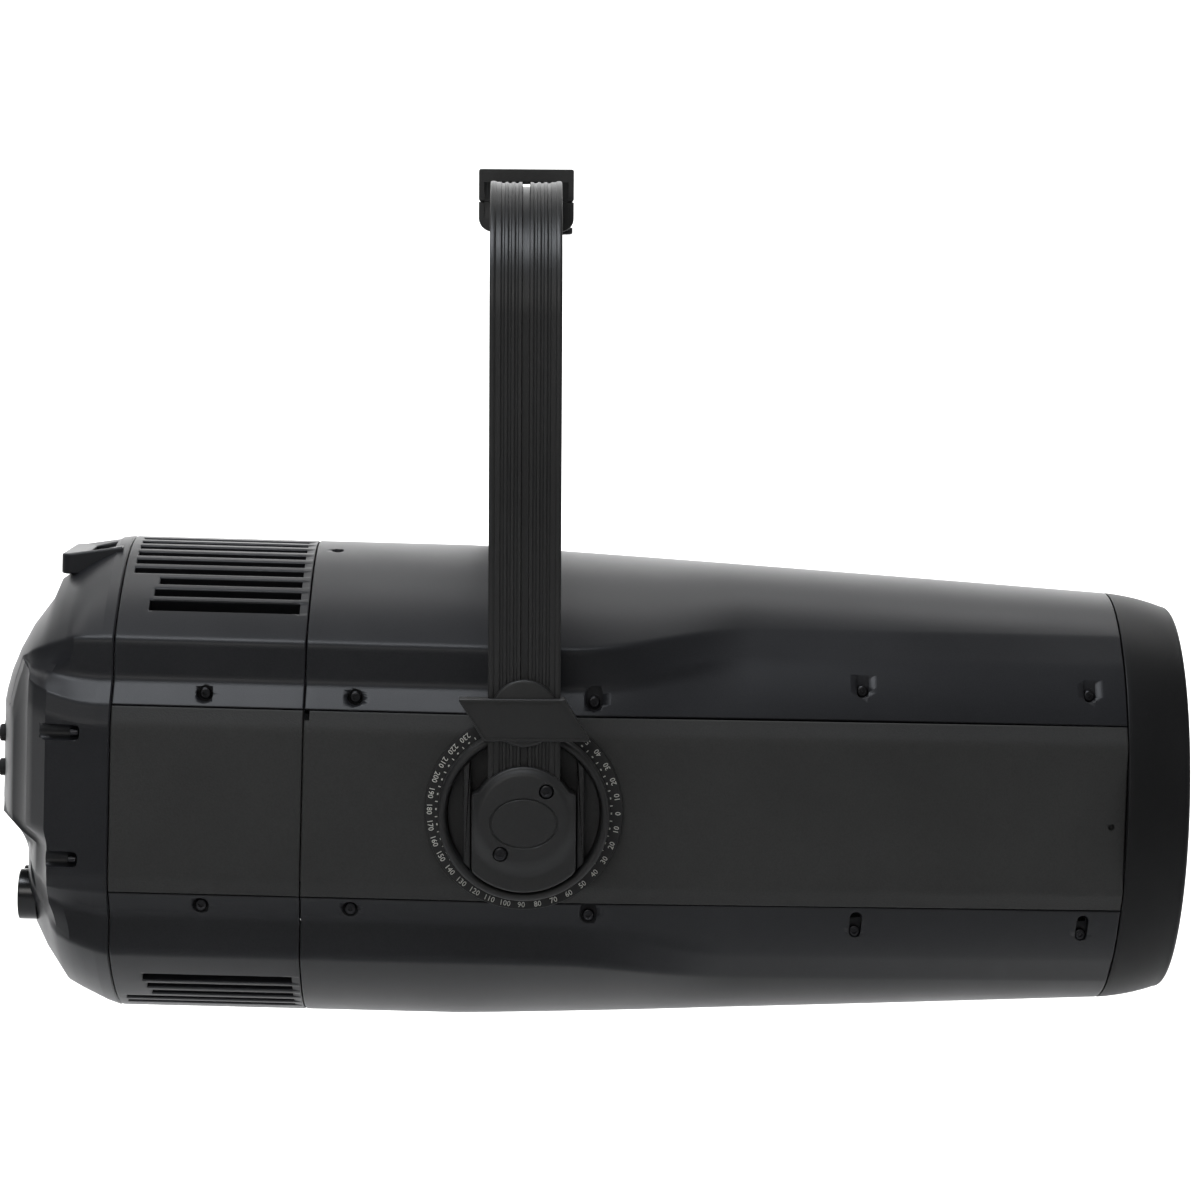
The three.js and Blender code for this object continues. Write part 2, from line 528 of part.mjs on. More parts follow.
// Cover: a round crown over the arm's end and straight skirts down to the cup's inner rim.
function hubCover(backY) {
  const half = COVER_WIDTH / 2;
  const inRim = bar("y", HUB_INNER_RADIUS - 1, backY, FAR, 0, 0, 64);
  const crown = bar("y", COVER_CROWN_RADIUS, backY, COVER_FRONT_Y, 0, 0, 48);
  const skirt = box(-half, half, backY, COVER_FRONT_Y - 5, -FAR, 12).intersect(inRim);
  const gate = box(-ARM_WIDTH / 2 - TOUCH, ARM_WIDTH / 2 + TOUCH, 0, ARM_OUTER_Y + TOUCH,
    -ARM_END_BELOW_PIVOT - TOUCH, FAR);
  const cheekGap = box(CHANNEL_INNER_X - TOUCH, FAR, 0, HUB_FRONT_Y, -FAR, FAR);
  const screwHoles = COVER_SCREW_PLACES.map(([x, z]) =>
    bar("y", COVER_SCREW_RADIUS + TOUCH, COVER_FRONT_Y - 3.5, FAR, x, z, 20));
  return cutAll(crown.add(skirt), [gate, cheekGap, cheekGap.mirror([1, 0, 0]), ...screwHoles]);
}

const lockRoom = () => bar("y", LOCK_STEM + TOUCH, ARM_OUTER_Y, FAR, 0, 0, 20);

// Fluted clamp knob on the far hub, on the tilt axis.
function lockKnob() {
  const back = COVER_FRONT_Y + 1;
  const flutes = Array.from({ length: 6 }, (_, i) => {
    const angle = (i / 6) * 2 * Math.PI;
    return bar("y", 6, back + 4, FAR, (LOCK_KNOB_RADIUS + 2) * Math.cos(angle),
      (LOCK_KNOB_RADIUS + 2) * Math.sin(angle), 14);
  });
  const grip = cutAll(bar("y", LOCK_KNOB_RADIUS, back, back + LOCK_KNOB_LENGTH, 0, 0, 36), flutes);
  const stem = bar("y", LOCK_STEM, ARM_OUTER_Y + 1, back + 1, 0, 0, 20);
  node("tilt_lock_knob", shift(grip.add(stem), 0, 0, -PIVOT_DROP), softRubber, yoke);
}

// ---- yoke ---------------------------------------------------------------------------------------
// Band section: across (x) and out from the inner face (t), with an edge bead and a centre groove.
function bandSection() {
  const half = ARM_WIDTH / 2;
  const face = ARM_THICKNESS - BEAD_RISE;
  const groove = GROOVE_WIDTH / 2;
  const right = [[half, 0], [half, ARM_THICKNESS - 1], [half - 1, ARM_THICKNESS],
    [half - BEAD_WIDTH, ARM_THICKNESS], [half - BEAD_WIDTH - 0.4, face], [groove, face],
    [groove, ARM_THICKNESS - GROOVE_DEPTH]];
  return [...right, ...right.map(([x, t]) => [-x, t]).reverse()];
}

function yokeBand() {
  const inner = BEND_RADIUS - ARM_THICKNESS;
  const centre = [ARM_OUTER_Y - BEND_RADIUS, BAND_TOP_Z - BEND_RADIUS];
  const footZ = -PIVOT_DROP - ARM_END_BELOW_PIVOT;
  const steps = 10;
  const place = (y, z, ny, nz) => bandSection().map(([x, t]) => [x, y + ny * t, z + nz * t]);
  const bend = Array.from({ length: steps + 1 }, (_, i) => {
    const angle = (i / steps) * (Math.PI / 2);
    const [ny, nz] = [Math.cos(angle), Math.sin(angle)];
    return place(centre[0] + inner * ny, centre[1] + inner * nz, ny, nz);
  });
  const half = [place(ARM_OUTER_Y - ARM_THICKNESS, footZ, 1, 0), ...bend];
  const flip = (ring) => ring.map(([x, y, z]) => [x, -y, z]);
  node("yoke_band", skin([...half, ...half.map(flip).reverse()]), blackPaint, yoke);
}

function saddle() {
  const [halfX, halfY] = [SADDLE_WIDTH / 2, SADDLE_LENGTH / 2];
  const inX = ARM_WIDTH / 2 + TOUCH;
  const hole = bar("z", HANGING_HOLE_RADIUS, -SADDLE_PLATE - 1, 1, 0, 0, 32);
  const cutTop = box(-inX, inX, -FAR, FAR, -FAR, -SADDLE_PLATE);
  const cap = box(-halfX, halfX, -halfY, halfY, SADDLE_SPLIT_Z + TOUCH, 0);
  node("saddle_top", cap.subtract(cutTop).subtract(hole), blackPaint, yoke);
  const r = 6;
  const low = SADDLE_BOTTOM_Z;
  const bandFloor = BAND_TOP_Z - ARM_THICKNESS - TOUCH;
  const tray = slabY([[-halfX, low + r], [-halfX + r * 0.3, low + r * 0.3], [-halfX + r, low],
    [halfX - r, low], [halfX - r * 0.3, low + r * 0.3], [halfX, low + r], [halfX, SADDLE_SPLIT_Z],
    [-halfX, SADDLE_SPLIT_Z]], -halfY, halfY);
  const seat = box(-inX + 1, inX - 1, -halfY, halfY, SADDLE_SPLIT_Z - 1, bandFloor);
  const boltHoles = SADDLE_SCREW_Y.map((y) =>
    bar("z", SADDLE_SCREW_RADIUS + TOUCH, low - 1, low + 3, SADDLE_SCREW_X, y, 20));
  node("saddle_bottom", cutAll(tray.add(seat), boltHoles), blackPaint, yoke);
  SADDLE_SCREW_Y.forEach((y, i) =>
    node(`saddle_screw_${i + 1}`, bar("z", SADDLE_SCREW_RADIUS, low - 1.5, low + 2.5, SADDLE_SCREW_X, y, 16),
      blackSteel, yoke));
}

// Slanted name clip round each arm, kept blank, with a round boss behind it.
function armBadges() {
  const half = BADGE_HALF_WIDTH - BADGE_SLANT / 2;
  const outline = [[-half - BADGE_SLANT, BADGE_HIGH_Z], [half, BADGE_HIGH_Z],
    [half + BADGE_SLANT, BADGE_LOW_Z], [-half, BADGE_LOW_Z]];
  const backY = ARM_OUTER_Y + TOUCH;
  const hookX = ARM_WIDTH / 2 + TOUCH;
  const hook = box(hookX, hookX + 1.6, ARM_OUTER_Y - ARM_THICKNESS, backY + 0.5,
    BADGE_LOW_Z + 3, BADGE_HIGH_Z - 3);
  const clip = joinAll([slabY(outline, backY, BADGE_FRONT_Y), hook, hook.mirror([1, 0, 0]),
    bar("y", BADGE_BOSS_RADIUS, backY, backY + 2, 0, BADGE_BOSS_Z, 32)]);
  for (const [side, place] of SIDES)
    node(`arm_badge_${side}`, shift(place(clip), 0, 0, -PIVOT_DROP), shellPlastic, yoke);
}

// ---- inside the casing --------------------------------------------------------------------------
function chassis() {
  const floor = box(CHASSIS_REAR_X, CHASSIS_FRONT_X, -CHASSIS_HALF_WIDTH + 8, CHASSIS_HALF_WIDTH - 8,
    CHASSIS_FLOOR_Z, CHASSIS_FLOOR_Z + CHASSIS_PLATE);
  const cheek = box(-70, 70, CHASSIS_HALF_WIDTH - 8 - CHASSIS_PLATE, CHASSIS_HALF_WIDTH - 8,
    CHASSIS_FLOOR_Z, 40);
  const boss = bar("y", BOSS_RADIUS, CHASSIS_HALF_WIDTH - 9, DIAL_BACK_Y - TOUCH, 0, 0, 32);
  const shaftRoom = bothSides([bar("y", SHAFT_RADIUS + 0.6, CHASSIS_HALF_WIDTH + 3, FAR, 0, 0, 24),
    bar("y", SHAFT_RADIUS + 5, 0, CHASSIS_HALF_WIDTH + 4, 0, 0, 24)]);
  const gate = box(GATE_X - 2, GATE_X + 2, -70, 70, CHASSIS_FLOOR_Z + 1, 60)
    .subtract(bar("x", GATE_HOLE_RADIUS, GATE_X - 3, GATE_X + 3, 0, 0, 32));
  const front = box(ROD_FRONT_X, ROD_FRONT_X + 3, -70, 70, CHASSIS_FLOOR_Z + 1, -20);
  const ends = [GATE_X, ROD_FRONT_X + 1.5].flatMap((x) => [
    bar("x", ROD_RADIUS + TOUCH, x - 6, x + 6, -ROD_Y, ROD_Z, 16),
    bar("x", ROD_RADIUS + TOUCH, x - 6, x + 6, ROD_Y, ROD_Z, 16),
    bar("x", SCREW_RADIUS + TOUCH, x - 6, x + 6, 0, SCREW_Z, 16)]);
  node("chassis_frame", cutAll(joinAll([floor, cheek, mirrorY(cheek), boss, mirrorY(boss), gate, front]),
    [...shaftRoom, ...ends]), alloy, housing);
  for (const [side, y] of [["near", -ROD_Y], ["far", ROD_Y]]) {
    const rod = bar("x", ROD_RADIUS, GATE_X - 4, ROD_FRONT_X + 5, y, ROD_Z, 16);
    node(`guide_rod_${side}`, rod, steel, housing);
  }
  node("lead_screw", bar("x", SCREW_RADIUS, GATE_X - 5, ROD_FRONT_X + 4, 0, SCREW_Z, 16), steel, housing);
  const motorBack = GATE_X - 5 - TOUCH;
  const motor = box(motorBack - 34, motorBack, -14, 14, CHASSIS_FLOOR_Z + CHASSIS_PLATE + TOUCH,
    SCREW_Z + 8);
  node("zoom_motor", motor, blackPaint, housing);
}

function zoomCarriage() {
  const [x0, x1] = [ZOOM_REST_X, ZOOM_REST_X + CARRIAGE_LENGTH];
  const ring = bar("x", ZOOM_LENS_RADIUS + 6, x0, x1, 0, 0, 48);
  const foot = box(x0, x1, -ROD_Y - 9, ROD_Y + 9, SCREW_Z - 8, ROD_Z + 9);
  const seatX = x0 + 8;
  const cuts = [bar("x", ZOOM_LENS_RADIUS + TOUCH, seatX, x1 + 1, 0, 0, 48),
    bar("x", ZOOM_LENS_RADIUS - 5, x0 - 1, x1, 0, 0, 48),
    bar("x", ROD_RADIUS + TOUCH, x0 - 1, x1 + 1, -ROD_Y, ROD_Z, 16),
    bar("x", ROD_RADIUS + TOUCH, x0 - 1, x1 + 1, ROD_Y, ROD_Z, 16),
    bar("x", SCREW_RADIUS + TOUCH, x0 - 1, x1 + 1, 0, SCREW_Z, 16)];
  node("zoom_carriage", cutAll(ring.add(foot), cuts), blackPaint, housing);
  const back = seatX + TOUCH;
  node("zoom_lens", turned([[back, 0], [back, ZOOM_LENS_RADIUS], [back + 6, ZOOM_LENS_RADIUS],
    [back + 10, 36], [back + 13, 18], [back + 14, 0]], 36), glass, housing);
}

function lightEngine() {
  const ledX = VENT_SEAM_X + 14;
  node("led_board", box(ledX, ledX + 3, -48, 48, -48, 48), circuitGreen, housing);
  const base = box(ledX - 10, ledX - TOUCH, -56, 56, -56, 56);
  const fins = Array.from({ length: 11 }, (_, i) =>
    box(HEAT_SINK_REAR_X, ledX - 9, -55 + i * 10.8, -52.5 + i * 10.8, -56, 56));
  node("heat_sink", joinAll([base, ...fins]), alloy, housing);
  const tunnelBack = ledX + 3 + TOUCH;
  const tunnelFront = GATE_X - 2 - TOUCH;
  node("light_tunnel", turned([[tunnelBack, 44], [tunnelBack, 47], [tunnelFront, GATE_HOLE_RADIUS + 4],
    [tunnelFront, GATE_HOLE_RADIUS + 1], [tunnelBack, 44]], 36), alloy, housing);
  const fanX = HEAT_SINK_REAR_X - 22;
  const half = FAN_FRAME_HALF;
  const frame = box(fanX, fanX + 20, -half, half, -half, half)
    .subtract(bar("x", FAN_RADIUS + 2, fanX - 1, fanX + 21, 0, 0, 40));
  const struts = [0, 1].map((k) => turnX(box(fanX, fanX + 2, 1 - half, half - 1, -2, 2), 45 + 90 * k));
  const seat = bar("x", FAN_HUB_RADIUS, fanX, fanX + 3, 0, 0, 24);
  const pinHole = bar("x", 2.6, fanX - 1, fanX + 21, 0, 0, 12);
  node("fan_frame", joinAll([frame, ...struts, seat]).subtract(pinHole), blackPaint, housing);
  const blade = shift(box(-1, 1, -7, 7, FAN_HUB_RADIUS - 2, FAN_RADIUS).rotate([0, 0, 38]), fanX + 12, 0, 0);
  const blades = Array.from({ length: FAN_BLADES }, (_, i) => turnX(blade, (i / FAN_BLADES) * 360));
  node("fan_rotor", joinAll([bar("x", FAN_HUB_RADIUS, fanX + 4, fanX + 19, 0, 0, 24),
    bar("x", 2.2, fanX + 0.5, fanX + 5, 0, 0, 12), ...blades]), softRubber, housing);
}

function electronics() {
  const top = CHASSIS_FLOOR_Z - TOUCH;
  node("power_supply", box(-90, 70, -60, 60, top - 42, top), alloy, housing);
  const x = REAR_SEAM_X - 20;
  node("control_board", box(x, x + 2, -64, 64, -40, 60), circuitGreen, housing);
}

casingPieces();
rearPieces();
frontPieces();
tiltHubs();
lockKnob();
yokeBand();
saddle();
armBadges();
chassis();
zoomCarriage();
lightEngine();
electronics();

export default luminaire;
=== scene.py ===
"""A stage spot luminaire: fine casing, yoke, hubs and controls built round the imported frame."""

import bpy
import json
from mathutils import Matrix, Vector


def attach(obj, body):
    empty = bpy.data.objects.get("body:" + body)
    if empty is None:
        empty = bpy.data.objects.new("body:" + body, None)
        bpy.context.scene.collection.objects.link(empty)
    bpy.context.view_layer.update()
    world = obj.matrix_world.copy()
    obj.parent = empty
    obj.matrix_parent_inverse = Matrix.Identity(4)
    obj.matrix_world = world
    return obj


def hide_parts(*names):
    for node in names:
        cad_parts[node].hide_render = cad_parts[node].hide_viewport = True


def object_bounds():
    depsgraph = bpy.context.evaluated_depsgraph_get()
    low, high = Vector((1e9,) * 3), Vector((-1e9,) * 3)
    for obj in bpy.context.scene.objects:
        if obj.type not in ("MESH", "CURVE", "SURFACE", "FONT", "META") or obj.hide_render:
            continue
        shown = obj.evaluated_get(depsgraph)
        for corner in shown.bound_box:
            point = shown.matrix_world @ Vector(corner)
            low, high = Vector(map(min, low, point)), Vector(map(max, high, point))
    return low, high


bl_info = {
    "name": "Stage Spot Luminaire",
    "version": (1, 0, 0),
    "blender": (4, 5, 0),
    "location": "View3D > Sidebar > Luminaire",
    "description": "Builds the finished pieces of a yoke-hung stage spot round its frame",
    "category": "Add Mesh",
}

import json
import math

import bmesh
import bpy
import numpy as np
from bpy.props import FloatProperty, FloatVectorProperty, PointerProperty
from mathutils import Matrix, Vector

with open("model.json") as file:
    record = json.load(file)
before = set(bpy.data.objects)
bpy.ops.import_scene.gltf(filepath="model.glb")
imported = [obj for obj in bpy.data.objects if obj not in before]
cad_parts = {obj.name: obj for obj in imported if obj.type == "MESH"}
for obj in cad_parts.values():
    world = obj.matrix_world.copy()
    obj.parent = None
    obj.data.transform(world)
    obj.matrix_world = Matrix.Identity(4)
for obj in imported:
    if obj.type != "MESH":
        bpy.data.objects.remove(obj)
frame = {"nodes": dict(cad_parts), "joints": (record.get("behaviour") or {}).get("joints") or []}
CAD_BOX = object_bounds()

MM = 0.001
CREASE = 38.0
SCREW_SIDES = 48
SIDES = {"near": -1.0, "far": 1.0}

JOINTS = {joint["name"]: joint for joint in frame["joints"]}
PIVOT = np.array(JOINTS["tilt"]["pos_m"])
FORWARD = np.array(JOINTS["zoom_slide"]["axis"])
ACROSS = np.array((0.0, 1.0, 0.0))
HOUSING_AXES = np.array((FORWARD, ACROSS, np.cross(FORWARD, ACROSS)))


# ---- places read from the frame -----------------------------------------------------------------
def stay(points):
    """Row-frame coordinates as they are."""
    return np.asarray(points)


def seat(points):
    """Housing coordinates, measured from the tilt axis along the body, to the row frame."""
    return PIVOT + np.asarray(points) @ HOUSING_AXES


def hang(points):
    """Yoke coordinates, measured from the tilt axis and upright, to the row frame."""
    return PIVOT + np.asarray(points)


def coordinates(mesh):
    """A mesh's vertices as rows of x, y, z."""
    flat = np.empty(len(mesh.vertices) * 3, np.float32)
    mesh.vertices.foreach_get("co", flat)
    return flat.reshape(-1, 3).astype(float)


def row_span(node):
    """Lowest and highest corner of a node in the row frame."""
    local = coordinates(frame["nodes"][node].data)
    return local.min(0), local.max(0)


def yoke_span(node):
    """Lowest and highest corner of a node in yoke coordinates."""
    low, high = row_span(node)
    return low - PIVOT, high - PIVOT


def housing_points(node):
    """A node's vertices in housing coordinates."""
    return (coordinates(frame["nodes"][node].data) - PIVOT) @ HOUSING_AXES.T


def housing_span(node):
    """Lowest and highest corner of a node in housing coordinates."""
    local = housing_points(node)
    return local.min(0), local.max(0)


def round_part(node):
    """A round node lying along the housing: its two corners, its middle (y, z) and its radius."""
    low, high = housing_span(node)
    y, z = (low + high)[1:] / 2
    return low, high, y, z, (high[1] - low[1]) / 2


# ---- sizes and colours that a user may change ---------------------------------------------------
def length(name, default, description):
    """A length setting in metres."""
    return FloatProperty(name=name, default=default, description=description, unit="LENGTH",
                         subtype="DISTANCE", precision=4)


def colour(name, default, description):
    """A linear colour setting."""
    return FloatVectorProperty(name=name, default=default, description=description, subtype="COLOR",
                               size=3, min=0.0, max=1.0)


class LuminaireCasing(bpy.types.PropertyGroup):
    shoulder_y: length("Shoulder width", 0.121, "Half width at the top edge of the upright facet")
    shoulder_z: length("Shoulder height", 0.089, "Height of the facet's top edge above the axis")
    foot_z: length("Facet foot", 0.0665, "Height of the facet's lower edge above the axis")
    shoulder_front_z: length("Faded shoulder", 0.100, "Where the shoulder line ends on the nose")
    foot_front_z: length("Faded foot", 0.084, "Where the facet's lower line ends on the nose")
    fade_start: length("Fade start", 0.022, "Where the facet begins to melt into the nose")
    fade_end: length("Fade end", 0.125, "Where the nose is wholly round")
    taper_start: length("Taper start", -0.035, "Where the casing begins to narrow")
    panel_half: length("Panel half height", 0.053, "Side panel's seam above the axis")
    panel_edge_y: length("Panel edge", 0.132, "Half width at the side panel's seam")
    panel_flat_z: length("Panel flat", 0.042, "Half height of the panel's flat")
    wall: length("Wall", 0.009, "Depth of a casing piece's edge")
    lip: length("Lip radius", 0.0009, "Rounding of each seam edge")


class LuminaireFinish(bpy.types.PropertyGroup):
    shell: colour("Shell", (0.0185, 0.0190, 0.0215), "Moulded casing black")
    panel: colour("Panel", (0.0260, 0.0258, 0.0245), "Textured side panel black")
    ring: colour("Ring", (0.0115, 0.0115, 0.0120), "Front ring black")
    coat: colour("Coat", (0.0170, 0.0170, 0.0168), "Yoke powder coat")
    marks: colour("Marks", (0.72, 0.72, 0.66), "Dial numerals and ticks")


def casing():
    """The casing's sizes as they are set."""
    return bpy.context.scene.luminaire_casing


def finish():
    """The finish colours as they are set."""
    return bpy.context.scene.luminaire_finish


# ---- mesh making --------------------------------------------------------------------------------
def signed_volume(points, faces):
    """Six times the enclosed volume: the sum over fan triangles of a . (b x c)."""
    total = 0.0
    for group in faces:
        for k in range(1, group.shape[1] - 1):
            a, b, c = points[group[:, 0]], points[group[:, k]], points[group[:, k + 1]]
            total += np.einsum("ij,ij->", a, np.cross(b, c))
    return total


def outward(points, faces):
    """The same closed shape with its faces turned outwards."""
    if signed_volume(points - points.mean(0), faces) < 0:
        faces = [group[:, ::-1] for group in faces]
    return points, faces


def mesh_of(name, points, faces):
    """A mesh from points and groups of equal-sided faces."""
    mesh = bpy.data.meshes.new(name)
    mesh.from_pydata(points.tolist(), [], [row for group in faces for row in group.tolist()])
    return mesh


def linked(name, data):
    """A new object that holds the data, linked into the scene."""
    made = bpy.data.objects.new(name, data)
    bpy.context.scene.collection.objects.link(made)
    return made


def evaluated_mesh(piece):
    """A new mesh of an object as it is with its modifiers."""
    return bpy.data.meshes.new_from_object(piece.evaluated_get(bpy.context.evaluated_depsgraph_get()))


def shade(piece, crease):
    """Smooth shading broken at creases, its normals weighted by face area and applied. Faces of
    more than four corners stay flat."""
    mesh = piece.data
    corners = np.zeros(len(mesh.polygons), int)
    mesh.polygons.foreach_get("loop_total", corners)
    mesh.polygons.foreach_set("use_smooth", corners <= 4)
    mesh.set_sharp_from_angle(angle=math.radians(crease))
    step = piece.modifiers.new("weigh", "WEIGHTED_NORMAL")
    step.keep_sharp, step.weight = True, 100
    bake_modifiers(piece)


def bake_modifiers(piece):
    """Swaps a piece's mesh for its evaluated one and drops the modifiers."""
    result = evaluated_mesh(piece)
    piece.modifiers.clear()
    old, name = piece.data, piece.data.name
    piece.data = result
    bpy.data.meshes.remove(old)
    result.name = name


def build(name, shape, place, coat, body, replaces=(), crease=CREASE):
    """One mesh object from a shape (points, face groups) set in place, facing out, riding on a body."""
    points, faces = outward(place(shape[0]), shape[1])
    used = np.unique(np.concatenate([group.ravel() for group in faces]))
    renumber = np.zeros(len(points), int)
    renumber[used] = np.arange(len(used))
    mesh = mesh_of(name, points[used], [renumber[group] for group in faces])
    mesh.validate()
    mesh.materials.append(paint(coat))
    piece = linked(name, mesh)
    shade(piece, crease)
    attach(piece, body)
    if replaces:
        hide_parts(*replaces)
    return piece


def cut(piece, cutters, place=stay, crease=CREASE):
    """Takes closed cutter shapes out of a piece with one exact boolean, applied to its mesh."""
    mesh = mesh_of("cutter", *merged(*[outward(place(points), faces) for points, faces in cutters]))
    tool = linked("cutter", mesh)
    step = piece.modifiers.new("cut", "BOOLEAN")
    step.operation, step.object, step.solver = "DIFFERENCE", tool, "EXACT"
    bake_modifiers(piece)
    bpy.data.objects.remove(tool)
    bpy.data.meshes.remove(mesh)
    if not piece.data.polygons:
        raise ValueError(f"the boolean left nothing of {piece.name}")
    shade(piece, crease)


# ---- shapes: points and groups of faces ---------------------------------------------------------
def circle(count):
    """Angles of count points spread evenly over a whole turn."""
    return np.arange(count) * 2 * math.pi / count


def on_axes(along, u, v, axis):
    """Places along an axis letter and across it, put in x, y, z order."""
    return np.stack({"x": (along, u, v), "y": (u, along, v), "z": (u, v, along)}[axis], -1)


def moved(shape, shift):
    """The same shape shifted."""
    return shape[0] + np.asarray(shift), shape[1]


def merged(*shapes):
    """Several closed shapes as one point list and one list of face groups."""
    points, faces, start = [], [], 0
    for part, groups in shapes:
        points.append(part)
        faces += [group + start for group in groups]
        start += len(part)
    return np.concatenate(points), faces


def grid_quads(rows, cols, wrap=False):
    """Quads of a rows x cols grid of points, joined round on itself along the columns if wrap."""
    index = np.arange(rows * cols).reshape(rows, cols)
    if wrap:
        index = np.concatenate([index, index[:, :1]], axis=1)
    return np.stack([index[:-1, :-1], index[:-1, 1:], index[1:, 1:], index[1:, :-1]], -1).reshape(-1, 4)


def capped(grid):
    """A grid of points as a closed tube: each row is a ring, the first and last one filled."""
    rows, cols = grid.shape[:2]
    ends = [np.arange(cols)[None, ::-1], (rows - 1) * cols + np.arange(cols)[None]]
    return grid.reshape(-1, 3), [grid_quads(rows, cols, wrap=True), *ends]


def fans(rows, cols):
    """Triangles joining a grid's first and last ring to two poles that follow the grid's points."""
    ring = np.arange(cols)
    after, last, pole = (ring + 1) % cols, (rows - 1) * cols, rows * cols
    return np.concatenate([np.stack([after, ring, np.full(cols, pole)], -1),
                           np.stack([last + ring, last + after, np.full(cols, pole + 1)], -1)])


def rings(rows, angle, axis):
    """Capped tube of one ring for each (along, radius) row; a radius may vary with the angle."""
    radius = np.stack([r + 0 * angle for _, r in rows])
    along = np.array([a for a, _ in rows])[:, None] + 0 * radius
    return capped(on_axes(along, radius * np.cos(angle), radius * np.sin(angle), axis))


def thick_sheet(outer, inner, keep=None):
    """Closed sheet between two grids: both faces, and a wall wherever a kept cell meets none."""
    rows, cols = outer.shape[:2]
    keep = np.ones((rows - 1, cols - 1), bool) if keep is None else keep
    top = np.arange(rows * cols).reshape(rows, cols)
    low = top + rows * cols
    ring = np.pad(keep, 1)
    here, left, above = ring[1:, 1:], ring[1:, :-1], ring[:-1, 1:]
    quads = [np.stack([top[:-1, :-1], top[:-1, 1:], top[1:, 1:], top[1:, :-1]], -1)[keep],
             np.stack([low[:-1, :-1], low[1:, :-1], low[1:, 1:], low[:-1, 1:]], -1)[keep]]
    rising, falling = here[:-1, :] & ~left[:-1, :], ~here[:-1, :] & left[:-1, :]
    i, j = np.nonzero(rising)
    quads.append(np.stack([top[i, j], top[i + 1, j], low[i + 1, j], low[i, j]], -1))
    i, j = np.nonzero(falling)
    quads.append(np.stack([top[i + 1, j], top[i, j], low[i, j], low[i + 1, j]], -1))
    rising, falling = here[:, :-1] & ~above[:, :-1], ~here[:, :-1] & above[:, :-1]
    i, j = np.nonzero(rising)
    quads.append(np.stack([top[i, j + 1], top[i, j], low[i, j], low[i, j + 1]], -1))
    i, j = np.nonzero(falling)
    quads.append(np.stack([top[i, j], top[i, j + 1], low[i, j + 1], low[i, j]], -1))
    points = np.concatenate([outer.reshape(-1, 3), inner.reshape(-1, 3)])
    return points, [np.concatenate(quads)]


def turned(profile, axis, sides=96):
    """Surface of revolution: each (along, radius) point swept round the axis letter.
    A profile that starts and ends on the axis is closed by fans, any other is joined end to end."""
    profile = np.asarray(profile, float)
    on_axis = profile[0, 1] == 0 and profile[-1, 1] == 0
    body = profile[1:-1] if on_axis else np.concatenate([profile, profile[:1]])
    angle = circle(sides)
    along = np.broadcast_to(body[:, :1], (len(body), sides))
    points = on_axes(along, body[:, 1:] * np.cos(angle), body[:, 1:] * np.sin(angle), axis).reshape(-1, 3)
    quads = grid_quads(len(body), sides, wrap=True)
    if not on_axis:
        last = (len(body) - 1) * sides
        return points[:last], [quads % last]
    poles = on_axes(profile[[0, -1], 0], np.zeros(2), np.zeros(2), axis)
    return np.concatenate([points, poles]), [quads, fans(len(body), sides)]


def prism(outline, low, high, axis="y", soft=0.0008, steps=3):
    """Outline pushed along an axis letter, its two rims rounded by a quarter circle.
    Each rim ring is the outline moved in by soft * (1 - sin t) along its corner bisectors."""
    outline = np.asarray(outline, float)
    before, after = np.roll(outline, 1, 0), np.roll(outline, -1, 0)
    e1, e2 = outline - before, after - outline
    e1 /= np.linalg.norm(e1, axis=1, keepdims=True)
    e2 /= np.linalg.norm(e2, axis=1, keepdims=True)
    n1 = np.stack([-e1[:, 1], e1[:, 0]], -1)
    n2 = np.stack([-e2[:, 1], e2[:, 0]], -1)
    inward = (n1 + n2) / np.maximum(1 + np.einsum("ij,ij->i", n1, n2), 0.3)[:, None]
    area = np.sum(outline[:, 0] * after[:, 1] - after[:, 0] * outline[:, 1])
    inward *= math.copysign(1.0, area)
    t = np.linspace(0, math.pi / 2, steps + 1)
    shrink = np.concatenate([soft * (1 - np.sin(t)), soft * (1 - np.sin(t[::-1]))])
    place = np.concatenate([low + soft * (1 - np.cos(t)), high - soft * (1 - np.cos(t[::-1]))])
    flat = outline[None] + inward[None] * shrink[:, None, None]
    along = np.broadcast_to(place[:, None], flat.shape[:2])
    return capped(on_axes(along, flat[..., 0], flat[..., 1], axis))

def arc(centre, radius, start, end, count=8):
    """Points on a circle between two angles given in degrees."""
    t = np.radians(np.linspace(start, end, count))
    return np.stack([centre[0] + radius * np.cos(t), centre[1] + radius * np.sin(t)], -1)


def rounded_outline(corners, radius, count=6):
    """Polygon with each corner replaced by a circular arc tangent to both sides."""
    corners = np.asarray(corners, float)
    out = []
    for p, c, n in zip(np.roll(corners, 1, 0), corners, np.roll(corners, -1, 0)):
        a, b = (p - c) / np.linalg.norm(p - c), (n - c) / np.linalg.norm(n - c)
        half = math.acos(float(np.clip(a @ b, -1, 1))) / 2
        reach = min(radius / math.tan(half), 0.45 * np.linalg.norm(p - c), 0.45 * np.linalg.norm(n - c))
        t = np.linspace(0, 1, count)[:, None]
        out.append((1 - t) ** 2 * (c + a * reach) + 2 * t * (1 - t) * c + t ** 2 * (c + b * reach))
    return np.concatenate(out)


def box_outline(low, high, radius, count=6):
    """Rounded rectangle between two (u, v) corners."""
    return rounded_outline([low, (high[0], low[1]), high, (low[0], high[1])], radius, count)


def rod(axis, radius, low, high, u, v, sides=28):
    """Plain closed cylinder along an axis letter, moved to (u, v) on the other two axes."""
    profile = [(low, 0), (low, radius), (high, radius), (high, 0)]
    return moved(turned(profile, axis, sides), on_axes(0, u, v, axis))


